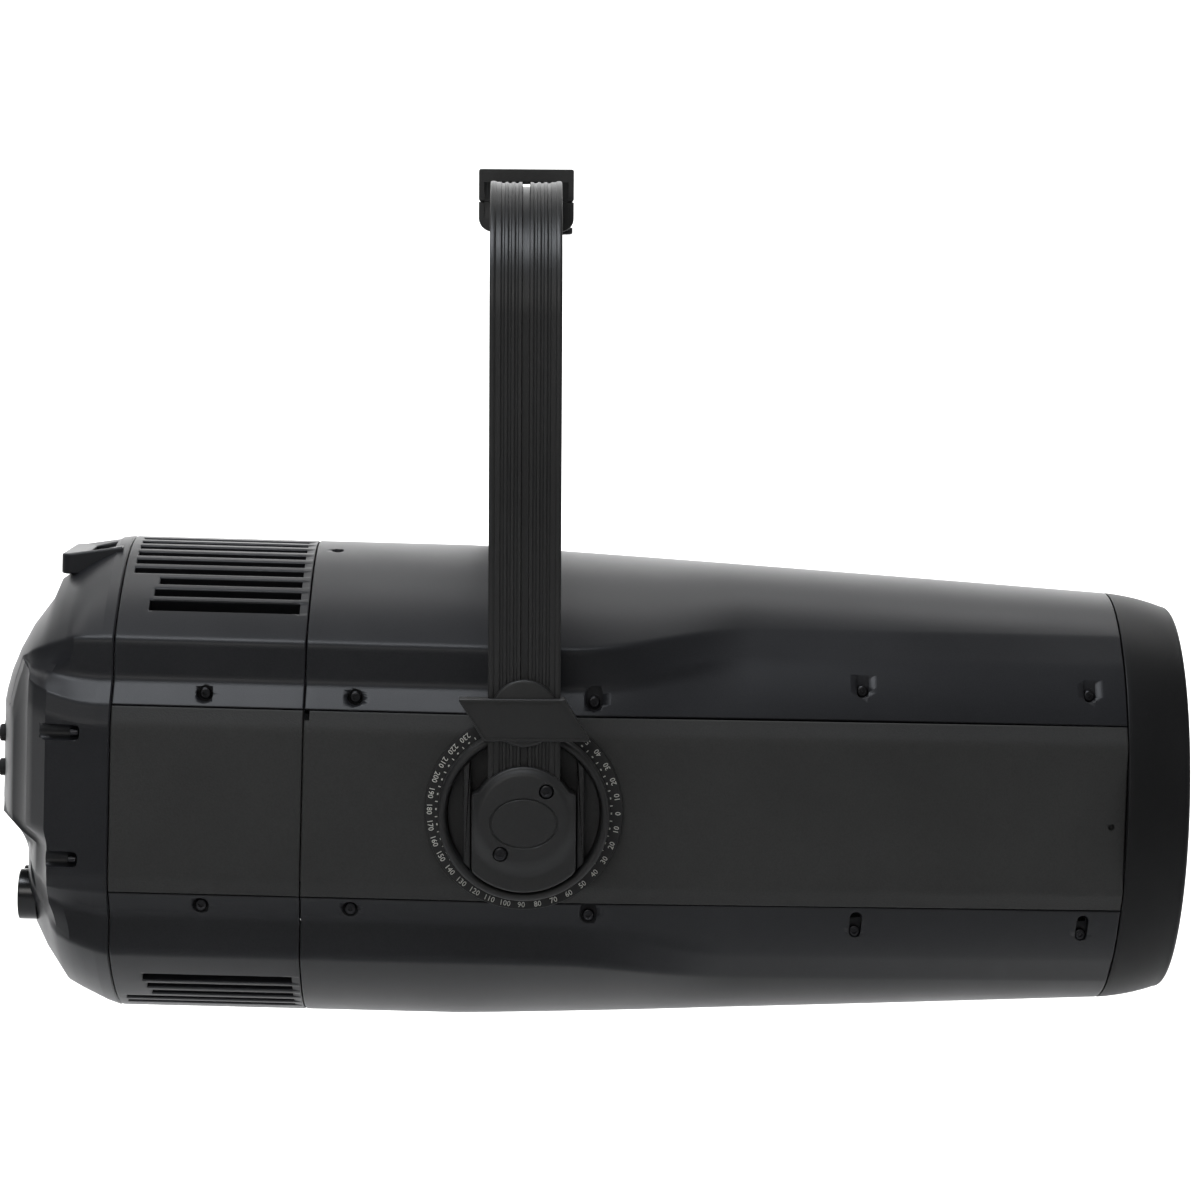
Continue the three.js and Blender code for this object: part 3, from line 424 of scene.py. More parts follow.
def block(low, high):
    """Plain closed box between two corners."""
    outline = [(low[0], low[2]), (high[0], low[2]), (high[0], high[2]), (low[0], high[2])]
    return prism(outline, low[1], high[1], "y", soft=0.0, steps=1)


def socket_screw(axis, way, radius, front, back, u, v, hexagon=0.0017):
    """Round screw head with a hexagonal socket: rings from the rim inwards, the inner ones following
    a hexagon of constant distance / cos(angle within each sixth). front is its outer face."""
    angle = circle(SCREW_SIDES)
    hexa = hexagon / np.cos(np.mod(angle, math.pi / 3) - math.pi / 6)
    floor = front - way * 0.0018
    rows = [(back, radius), (front - way * radius * 0.28, radius),
            (front - way * radius * 0.10, radius * 0.93), (front - way * radius * 0.02, radius * 0.80),
            (front, radius * 0.62), (front, hexa * 1.06), (front - way * 0.0001, hexa), (floor, hexa)]
    return moved(rings(rows, angle, axis), on_axes(0, u, v, axis))


# ---- casing section -----------------------------------------------------------------------------
def smooth(low, high, x):
    """0 up to low, 1 from high on, and t * t * (3 - 2 * t) in between."""
    t = np.clip((x - low) / (high - low), 0, 1)
    return t * t * (3 - 2 * t)


def mix(a, b, t):
    """a at t = 0, b at t = 1, in proportion between."""
    return a + (b - a) * t


def law(knots, at):
    """Broken line through (place, value) knots, read at the given places."""
    knots = np.asarray(knots, float)
    return np.interp(at, knots[:, 0], knots[:, 1])


class Shape:
    """Casing limits measured on the frame's own nodes, in housing coordinates."""

    def __init__(self):
        """Reads the seams, heights and radii that the pieces share."""
        vent_low, vent_high = housing_span("vent_top_shell")
        main_low, main_high = housing_span("main_top_shell")
        ring_high = housing_span("front_ring")[1]
        self.half_height = vent_high[2]
        self.rear_seam = vent_low[0]
        self.vent_seam = main_low[0]
        self.ring_seam = main_high[0]
        self.gap = main_low[0] - vent_high[0]
        self.front_radius = ring_high[1]
        self.ring_front = ring_high[0]
        self.face_y = housing_span("side_panel_far")[1][1]
        panel = housing_points("side_panel_far")
        self.face_front_y = panel[panel[:, 0] > self.ring_seam - 0.001][:, 1].max()


SHAPE = Shape()
TAPER_POWER = 1.12
DOME_SWELL = 2.6
DOME_POINTS, FACET_POINTS, LEDGE_POINTS = 84, 12, 10


def half_height(x):
    """Crown height: level, then falling as a power of the distance along the taper."""
    c = casing()
    t = np.clip((x - c.taper_start) / (SHAPE.ring_seam - c.taper_start), 0, 1)
    return SHAPE.half_height - (SHAPE.half_height - SHAPE.front_radius) * t ** TAPER_POWER


def blend_corners(curve, corners, reach, passes):
    """Rounds named corners of each row's curve by repeated averaging of the points near them."""
    weight = np.zeros(curve.shape[1])
    for corner in corners:
        weight = np.maximum(weight, np.clip(1.4 - np.abs(np.arange(len(weight)) - corner) / reach, 0, 1))
    weight[[0, -1]] = 0
    for _ in range(passes):
        mean = (np.roll(curve, 1, 1) + 2 * curve + np.roll(curve, -1, 1)) / 4
        curve = mix(curve, mean, np.minimum(weight, 1)[None, :, None])
    return curve


def edge_width(forward):
    """Half width at the side panel's seam, forward running from 0 at the fade to 1 at the ring."""
    c = casing()
    return mix(c.panel_edge_y, math.sqrt(SHAPE.front_radius ** 2 - c.panel_half ** 2), forward)


def quarter_section(x, dome_turn=None):
    """Crown to side-panel seam at each x: a polar arc whose radius swells to the shoulder, the
    upright facet, then the ledge. Returns an array of rows x points x (y, z)."""
    c = casing()
    x = np.asarray(x, float)[:, None]
    h = half_height(x)
    fade = smooth(c.fade_start, c.fade_end, x)
    forward = np.clip((x - c.fade_start) / (SHAPE.ring_seam - c.fade_start), 0, 1)
    shoulder_z = mix(c.shoulder_z, c.shoulder_front_z, fade)
    shoulder_y = mix(c.shoulder_y, np.sqrt(h * h - shoulder_z ** 2), fade)
    foot_z = mix(c.foot_z, c.foot_front_z, fade)
    foot_y = mix(c.shoulder_y, np.sqrt(h * h - foot_z ** 2), fade)
    angle = np.arctan2(shoulder_y, shoulder_z)
    bulge = np.hypot(shoulder_y, shoulder_z) - h
    turn = (np.linspace(0, 1, DOME_POINTS) if dome_turn is None else dome_turn)[None]
    radius = h + bulge * turn ** DOME_SWELL
    dome = np.stack([radius * np.sin(angle * turn), radius * np.cos(angle * turn)], -1)
    t = np.linspace(0, 1, FACET_POINTS + 1)[None, 1:]
    facet = np.stack([mix(shoulder_y, foot_y, t), mix(shoulder_z, foot_z, t)], -1)
    t = np.linspace(0, 1, LEDGE_POINTS + 1)[None, 1:]
    ledge_z = mix(foot_z, c.panel_half, t)
    ledge_y = mix(mix(foot_y, edge_width(forward), t), np.sqrt(h * h - ledge_z ** 2),
                  np.minimum(fade, 2 * forward))
    ledge = np.stack([ledge_y, ledge_z], -1)
    corners = (turn.shape[1] - 1, turn.shape[1] + FACET_POINTS - 1)
    return blend_corners(np.concatenate([dome, facet, ledge], 1), corners, 2, 2)


def lipped(values, lip):
    """A rising run of places with closely spaced ones added at both ends, and their insets."""
    values = np.asarray(values, float)
    near = lip * np.array((0, 0.15, 0.5, 1.0))
    depth = lip * np.array((1.0, 0.5, 0.15, 0))
    inside = values[(values > values[0] + 1.5 * lip) & (values < values[-1] - 1.5 * lip)]
    places = np.concatenate([values[0] + near, inside, values[-1] - near[::-1]])
    inset = np.concatenate([depth, np.zeros(len(inside)), depth[::-1]])
    return places, inset


def lipped_curve(curve, lip):
    """The same for the ends of each row's curve: both end points get closely spaced neighbours."""
    def end(tip, beside):
        """Close neighbours of a tip on the way to the point beside it."""
        reach = np.linalg.norm(beside - tip, axis=-1, keepdims=True)
        near = np.minimum(lip * np.array((0, 0.15, 0.5, 0.95))[None, :, None] / reach[:, None], 0.9)
        return mix(tip[:, None], beside[:, None], near)
    depth = lip * np.array((1.0, 0.5, 0.15, 0))
    first, last = end(curve[:, 0], curve[:, 1]), end(curve[:, -1], curve[:, -2])[:, ::-1]
    whole = np.concatenate([first, curve[:, 1:-1], last], 1)
    return whole, np.concatenate([depth, np.zeros(curve.shape[1] - 2), depth[::-1]])


def stand(x, curve, inset):
    """Rows of (y, z) at each x as 3-D points, moved towards the axis by inset."""
    radius = np.linalg.norm(curve, axis=-1)
    scaled = curve * (1 - inset / radius)[..., None]
    along = np.broadcast_to(x[:, None], scaled.shape[:2])
    return np.concatenate([along[..., None], scaled], -1)


# ---- materials ----------------------------------------------------------------------------------
def material(name, base, roughness, metallic=0.0, grain=900.0, bump=0.05, mottle=0.12, shine=0.5):
    """Moulded or painted finish: mottled colour, uneven gloss and a fine grain on Object coordinates."""
    made = bpy.data.materials.new(name)
    made.use_nodes = True
    nodes, links = made.node_tree.nodes, made.node_tree.links
    shader = nodes["Principled BSDF"]
    shader.inputs["Metallic"].default_value = metallic
    shader.inputs["Specular IOR Level"].default_value = shine
    place = nodes.new("ShaderNodeTexCoord").outputs["Object"]

    def noise(scale, detail):
        """Output of a noise texture on Object coordinates."""
        node = nodes.new("ShaderNodeTexNoise")
        node.inputs["Scale"].default_value = scale
        node.inputs["Detail"].default_value = detail
        links.new(place, node.inputs["Vector"])
        return node.outputs["Fac"]

    def ramp(source, low, high, start, end):
        """The source turned into a colour between two places of its range."""
        node = nodes.new("ShaderNodeValToRGB")
        stops = node.color_ramp.elements
        stops[0].position, stops[1].position = low, high
        stops[0].color, stops[1].color = (*start, 1), (*end, 1)
        links.new(source, node.inputs["Fac"])
        return node.outputs["Color"]

    cloud, fine = noise(14.0, 4.0), noise(grain, 2.0)
    speck = nodes.new("ShaderNodeMix")
    speck.data_type, speck.blend_type = "RGBA", "MULTIPLY"
    speck.inputs["Factor"].default_value = 0.5
    dark, light = [c * (1 - mottle) for c in base], [c * (1 + mottle) for c in base]
    links.new(ramp(cloud, 0.3, 0.7, dark, light), speck.inputs["A"])
    links.new(ramp(fine, 0.3, 0.62, (0.62, 0.62, 0.62), (1, 1, 1)), speck.inputs["B"])
    links.new(speck.outputs["Result"], shader.inputs["Base Color"])
    gloss = nodes.new("ShaderNodeMapRange")
    gloss.inputs["To Min"].default_value = max(roughness - 0.05, 0.02)
    gloss.inputs["To Max"].default_value = roughness + 0.06
    links.new(cloud, gloss.inputs["Value"])
    links.new(gloss.outputs["Result"], shader.inputs["Roughness"])
    relief = nodes.new("ShaderNodeBump")
    relief.inputs["Strength"].default_value = bump
    relief.inputs["Distance"].default_value = 0.0004
    links.new(fine, relief.inputs["Height"])
    links.new(relief.outputs["Normal"], shader.inputs["Normal"])
    return made


def glass(name, tint, roughness):
    """Coated glass: clear, with a faint cloud of dust in its gloss."""
    made = material(name, tint, roughness, grain=60.0, bump=0.0, mottle=0.03)
    shader = made.node_tree.nodes["Principled BSDF"]
    shader.inputs["Transmission Weight"].default_value = 1.0
    shader.inputs["IOR"].default_value = 1.5
    return made


def finishes():
    """Every finish of the luminaire by name: what material() takes, and the lens's glass."""
    f = finish()
    recipes = {
        "shell": ("moulded_shell", f.shell, 0.38, 0.0, 1500, 0.10, 0.06, 0.28),
        "panel": ("textured_panel", f.panel, 0.60, 0.0, 1100, 0.45, 0.16),
        "ring": ("ring_black", f.ring, 0.46, 0.0, 1500, 0.08, 0.05, 0.2),
        "coat": ("powder_coat", f.coat, 0.40, 0.0, 1300, 0.22, 0.10),
        "hub": ("hub_black", (0.0185, 0.0185, 0.0185), 0.42, 0.0, 1400, 0.14),
        "dial": ("dial_black", (0.010, 0.010, 0.010), 0.50, 0.0, 1400, 0.06),
        "marks": ("dial_print", f.marks, 0.60, 0.0, 2500, 0.02, 0.2),
        "rubber": ("soft_rubber", (0.012, 0.012, 0.012), 0.75, 0.0, 1800, 0.15),
        "gloss": ("gloss_black", (0.012, 0.012, 0.013), 0.22, 0.0, 900, 0.02),
        "screw": ("black_oxide", (0.045, 0.045, 0.048), 0.30, 0.9, 1600, 0.08),
        "steel": ("ground_steel", (0.50, 0.50, 0.51), 0.28, 1.0, 1300, 0.08),
        "alloy": ("cast_alloy", (0.42, 0.43, 0.44), 0.42, 1.0, 1000, 0.15),
        "dark_alloy": ("dark_alloy", (0.03, 0.03, 0.032), 0.5, 0.6, 1000, 0.1),
        "board": ("solder_mask", (0.010, 0.060, 0.022), 0.35, 0.0, 700, 0.05),
        "window": ("smoked_window", (0.010, 0.013, 0.018), 0.10, 0.0, 500, 0.0),
    }
    made = {key: material(*recipe) for key, recipe in recipes.items()}
    made["lens"] = glass("coated_lens", (0.94, 0.97, 1.0), 0.05)
    return made


MATERIALS = {}


def paint(key):
    """The finish of that name; the first call makes them all."""
    if not MATERIALS:
        MATERIALS.update(finishes())
    return MATERIALS[key]


# ---- casing pieces ------------------------------------------------------------------------------
POCKET_PLACES = (-0.180, -0.096, 0.038, 0.190, 0.320)
POCKET_RADIUS, POCKET_DEPTH = 0.0047, 0.006
SLOTTED_FROM = 0.1
CROWN_HOLES = ((-0.112, -0.030), (-0.112, 0.030))
CROWN_HOLE_RADIUS = 0.0036
PIN_X, PIN_Z, PIN_RADIUS, PIN_DEPTH = 0.333, -0.004, 0.0019, 0.0025
PIVOT_OPENING = 0.019
PANEL_WALL = 0.005
EDGE_EASE = 0.0007
FINE_STEP = 0.0006
SLOT_FIRST, SLOT_PITCH, SLOT_COUNT, FOOT_SLOTS = 4.2, 4.8, 9, 5
SLOT_WIDTH, SLOT_WIDE, SLOT_RADIUS = 0.0066, 0.0086, 0.140
SLOT_STARTS = np.array((-0.226,) * (SLOT_COUNT - 3) + (-0.2105, -0.2125, -0.2145))


def ledge_point(x):
    """Middle of the ledge at x: (y, z)."""
    return quarter_section(np.array((x,)))[0, -1 - LEDGE_POINTS // 2]


def pocket_cutters(places, level):
    """Round screw pockets square to the side; ahead of the tilt hub they run out upwards as slots."""
    shapes = []
    for x in places:
        y, z = ledge_point(x)
        slotted = x > SLOTTED_FROM
        rise = 0.0090 if slotted else 0.0045 * (x > 0)
        wide = POCKET_RADIUS * (0.74 if slotted else 0.98)
        outline = np.concatenate([arc((x, level * z), wide, 180, 360, 16),
                                  arc((x, level * z + rise), wide, 0.01, 179.99, 16)])
        for side in (1, -1):
            low, high = sorted((side * (y - POCKET_DEPTH), side * (y + 0.03)))
            shapes.append(prism(outline, low, high, "y", 0.0, 1))
    return shapes


def shell_piece(name, x, dome_turn, level, holes, node):
    """Top (level 1) or bottom (level -1) casing shell over the stations x, with slot cells left out."""
    c = casing()
    rows, row_inset = lipped(x, c.lip)
    half = quarter_section(rows, dome_turn)
    curve = np.concatenate([half[:, ::-1], half[:, 1:] * np.array((-1, 1))], 1)
    curve[:, [0, -1], 1] = c.panel_half + SHAPE.gap / 2
    curve, col_inset = lipped_curve(curve, c.lip)
    curve = curve * np.array((1, level))
    inset = np.maximum(row_inset[:, None], col_inset[None])
    keep = holes(rows, curve) if holes else None
    if keep is not None:
        missing = np.pad(~keep, 1)
        touch = missing[1:, 1:] | missing[:-1, 1:] | missing[1:, :-1] | missing[:-1, :-1]
        touch[[0, -1]] = False
        touch[:, [0, -1]] = False
        inset = np.maximum(inset, np.where(touch, EDGE_EASE, 0))
    sheet = thick_sheet(stand(rows, curve, inset), stand(rows, curve, np.full(inset.shape, c.wall)), keep)
    return build(name, sheet, seat, "shell", "housing", [node])


def slot_angles():
    """Half angles of each louvre slot's two edges from the crown, in radians."""
    middle = np.radians(SLOT_FIRST + SLOT_PITCH * np.arange(SLOT_COUNT))
    half = np.where(np.arange(SLOT_COUNT) == SLOT_COUNT - 1, SLOT_WIDE, SLOT_WIDTH) / 2 / SLOT_RADIUS
    return middle - half, middle + half


def louvre_turns():
    """Dome places from 0 to 1 with lines on each slot's edges and close beside them."""
    c = casing()
    whole = math.atan2(c.shoulder_y, c.shoulder_z)
    low, high = slot_angles()
    fine = FINE_STEP / SLOT_RADIUS
    edges = np.concatenate([low - fine, low, high, high + fine]) / whole
    even = np.linspace(0, 1, DOME_POINTS)
    clear = np.abs(even[:, None] - edges[None]).min(1) > 0.004
    return np.sort(np.concatenate([even[clear], edges]))


def louvre_holes(x_front, count):
    """Chooses the cells inside the lowest count slots: between a slot's ends and its edge angles."""
    low, high = slot_angles()

    def holes(rows, curve):
        """True for every cell that stays."""
        middle_x = (rows[1:] + rows[:-1]) / 2
        cell = (curve[0, 1:] + curve[0, :-1]) / 2
        angle = np.abs(np.arctan2(cell[:, 0], np.abs(cell[:, 1])))
        open_cells = np.zeros((len(middle_x), len(cell)), bool)
        for k in range(SLOT_COUNT - count, SLOT_COUNT):
            along = (middle_x > SLOT_STARTS[k]) & (middle_x < x_front)
            open_cells |= along[:, None] & ((angle > low[k]) & (angle < high[k]))[None]
        return ~open_cells

    return holes


def vent_rows(x_front):
    """Stations of the vent module with lines on every slot end and close beside it."""
    ends = np.unique(np.append(SLOT_STARTS, x_front))
    fine = np.concatenate([ends - FINE_STEP, ends])
    even = np.linspace(SHAPE.rear_seam, SHAPE.vent_seam - SHAPE.gap, 22)
    clear = np.abs(even[:, None] - fine[None]).min(1) > 0.0015
    clear[[0, -1]] = True
    return np.sort(np.concatenate([even[clear], fine]))


class LUMINAIRE_OT_vent_module(bpy.types.Operator):
    """Louvred top and bottom shells over the heat sink"""
    bl_idname = "luminaire.vent_module"
    bl_label = "Vent Module"

    def execute(self, context):
        front = SHAPE.vent_seam - 0.0055
        for name, level, count in (("vent_top", 1, SLOT_COUNT), ("vent_bottom", -1, FOOT_SLOTS)):
            piece = shell_piece(name + "_louvres", vent_rows(front), louvre_turns(), level,
                                louvre_holes(front, count), name + "_shell")
            cut(piece, pocket_cutters(POCKET_PLACES[:1], level), seat)
        return {"FINISHED"}


def main_rows():
    """Stations of the main body, from the vent module's seam to the front ring's."""
    return np.append(np.arange(SHAPE.vent_seam, SHAPE.ring_seam + 0.002, 0.0052)[:-1], SHAPE.ring_seam)


class LUMINAIRE_OT_main_shells(bpy.types.Operator):
    """Long top and bottom shells from the vent module to the front ring"""
    bl_idname = "luminaire.main_shells"
    bl_label = "Main Shells"

    def execute(self, context):
        dial_low, dial_high = housing_span("tilt_dial_far")
        for name, level in (("main_top", 1), ("main_bottom", -1)):
            piece = shell_piece(name + "_cover", main_rows(), None, level, None, name + "_shell")
            cutters = pocket_cutters(POCKET_PLACES[1:], level)
            for side in (1, -1):
                low, high = sorted((side * (dial_low[1] - 0.005), side * 0.3))
                cutters.append(rod("y", dial_high[0] + 0.0008, low, high, 0, 0, 96))
            if level > 0:
                cutters += [rod("z", CROWN_HOLE_RADIUS, SHAPE.half_height - 0.0085, 0.2, *place)
                            for place in CROWN_HOLES]
            cut(piece, cutters, seat)
        return {"FINISHED"}


def panel_curve(x):
    """Side panel from its lower seam to its upper one at each x: chamfer, flat, chamfer."""
    c = casing()
    x = np.asarray(x, float)[:, None]
    forward = np.clip((x - c.fade_start) / (SHAPE.ring_seam - c.fade_start), 0, 1)
    face_y = mix(SHAPE.face_y, SHAPE.face_front_y, forward)
    top = c.panel_half - SHAPE.gap / 2
    flat = c.panel_flat_z / top
    t = np.concatenate([np.linspace(-1, -flat, 9)[:-1], np.linspace(-flat, flat, 33),
                        np.linspace(flat, 1, 9)[1:]])[None]
    near = np.clip((1 - np.abs(t)) / (1 - flat), 0, 1)
    curve = np.stack([mix(edge_width(forward), face_y, near), t * top * np.ones_like(x)], -1)
    return blend_corners(curve, (8, 40), 2, 2)


class LUMINAIRE_OT_side_panels(bpy.types.Operator):
    """Flat textured panels down both sides, in two lengths each"""
    bl_idname = "luminaire.side_panels"
    bl_label = "Side Panels"

    def execute(self, context):
        spans = {"vent_panel": np.linspace(SHAPE.rear_seam, SHAPE.vent_seam - SHAPE.gap, 23),
                 "side_panel": main_rows()}
        for stem, x in spans.items():
            rows, row_inset = lipped(x, casing().lip)
            curve, col_inset = lipped_curve(panel_curve(rows), casing().lip)
            inset = np.maximum(row_inset[:, None], col_inset[None])
            for side, sign in SIDES.items():
                mirror = np.array((1, sign, 1))
                sheet = thick_sheet(stand(rows, curve, inset) * mirror,
                                    stand(rows, curve, np.full(inset.shape, PANEL_WALL)) * mirror)
                piece = build(f"{stem}_skin_{side}", sheet, seat, "panel", "housing",
                              [f"{stem}_{side}"])
                if stem == "side_panel":
                    cut(piece, self.cutters(sign), seat)
        return {"FINISHED"}

    def cutters(self, sign):
        """Blind pin hole, a nick in the upper rear corner, and the pivot's opening."""
        c = casing()
        skin = law(((c.fade_start, SHAPE.face_y), (SHAPE.ring_seam, SHAPE.face_front_y)), PIN_X)
        low, high = sorted((sign * 0.12, sign * 0.16))
        return (rod("y", PIN_RADIUS, *sorted((sign * (skin - PIN_DEPTH), sign * 0.15)), PIN_X, PIN_Z, 20),
                block((SHAPE.vent_seam - 0.001, low, c.panel_half - 0.006),
                      (SHAPE.vent_seam + 0.003, high, c.panel_half)),
                rod("y", PIVOT_OPENING, *sorted((sign * 0.09, sign * 0.16)), 0, 0, 48))


# ---- rear cap -----------------------------------------------------------------------------------
CAD_DEPTH_TOP, CAD_DEPTH_FOOT = 0.0700, 0.0540
CORNER_DEPTH = 61.0
ROWS_TOP = (0, 7, 15, 22.5, 28, 33, 39, 44, 49.5, 55, 58, CORNER_DEPTH, 64, 66.5, 68.5, 69.6, 70)
ROWS_SIDE = (0, 9, 18, 27, 36, 40, 44, 48, 52, 55, 58, CORNER_DEPTH, 64, 66.5, 68.5, 69.6, 70)
ROWS_FOOT = (0, 8, 15, 22, 30, 34, 38, 41, 43, 45, 46.5, 48, 50, 51.5, 52.8, 53.6, 54)
ROWS_WAIST = (0, 9, 18, 27, 36, 39, 41, 43, 45, 47, 48.5, 50, 51.3, 52.5, 53.3, 53.8, 54)
CROWN_LAW = ((0, 138), (8, 137.2), (33, 121), (39, 117), (44, 104), (55, 88.5), (CORNER_DEPTH, 75.5),
             (66.5, 62), (69.6, 50), (70, 47))
SHOULDER_LAW = ((0, 1), (22.5, 0.995), (CORNER_DEPTH, 0.835), (66.5, 0.69), (69.6, 0.56), (70, 0.52))
LEDGE_LAW = ((0, 1), (10, 1.0), (22.5, 1.03), (45, 1.17), (CORNER_DEPTH, 1.36), (66.5, 1.12),
             (69.6, 0.92), (70, 0.86))
FOOT_LAW = ((0, 138), (6, 136.5), (30, 124.5), (43, 106), (50, 92), (53.3, 82), (54, 76))
HOOD_FOOT = (-0.0195, -0.0285)
PLAN_END = 0.655
BOW_HOOD, BOW_FOOT, BOW_FLAT, BOW_REACH, BOW_POWER = 0.0099, 0.0053, 0.020, 0.064, 2.2
CROWN_BAND, BELLY_BAND = (0.060, 0.088), (0.035, 0.080)
HOOD_CREASE, FOOT_CREASE = (36.0, 22.5), (38.0, 24.0)
FOOT_DRAW, DRAFT = 0.16, 0.0004
FINGER_ROOM = ((-0.4, -0.0285, 0.104), (-0.241, 0.0285, 0.2))
CHANNEL_PLACES = ((0.1336, 0.0370), (0.1336, -0.0345))
CHANNEL_PROFILE = ((-0.33, 0), (-0.33, 0.0052), (-0.2520, 0.0046), (-0.2496, 0.0040),
                   (-0.2488, 0.0022), (-0.2487, 0))
REAR_RINGS = ((0.985, 0.0003), (0.955, 0.0005), (0.90, 0.0006), (0.75, 0.0006), (0.5, 0.0006),
              (0.15, 0.0006))
REAR_MIDDLE = np.array((0, 0, 0.006))
MOUTH_RINGS = ((0.0192, 0.2), (0.0096, 0.6), (0.0002, 0.93))
CAP_CREASE = 20
LEAST = 0.0006
BEHIND = -0.33
WINDOW_CORNER = 0.002
PORTS = ("power_inlet", "power_outlet", "data_inlet", "data_outlet")


def plan_bow(y, hood):
    """How far the rear plane comes forward at y: level in the middle, then a rising power."""
    return mix(BOW_FOOT, BOW_HOOD, hood) * (np.maximum(np.abs(y) - BOW_FLAT, 0) / BOW_REACH) ** BOW_POWER


def hood_share(z):
    """0 below the hood's slanted underside, 1 above it."""
    return np.clip((z - HOOD_FOOT[1]) / (HOOD_FOOT[0] - HOOD_FOOT[1]), 0, 1)


def whole_ring(x):
    """Closed section ring at each x: quarter mirrored into four, with the panel's chamfer and flat."""
    panel = panel_curve(x)
    side = panel[:, panel.shape[1] // 2:][:, ::-1][:, 1:]
    quarter = np.concatenate([quarter_section(x), side], 1)
    right = np.concatenate([quarter, quarter[:, ::-1][:, 1:] * np.array((1, -1))], 1)
    return np.concatenate([right, right[:, ::-1][:, 1:-1] * np.array((-1, 1))], 1)


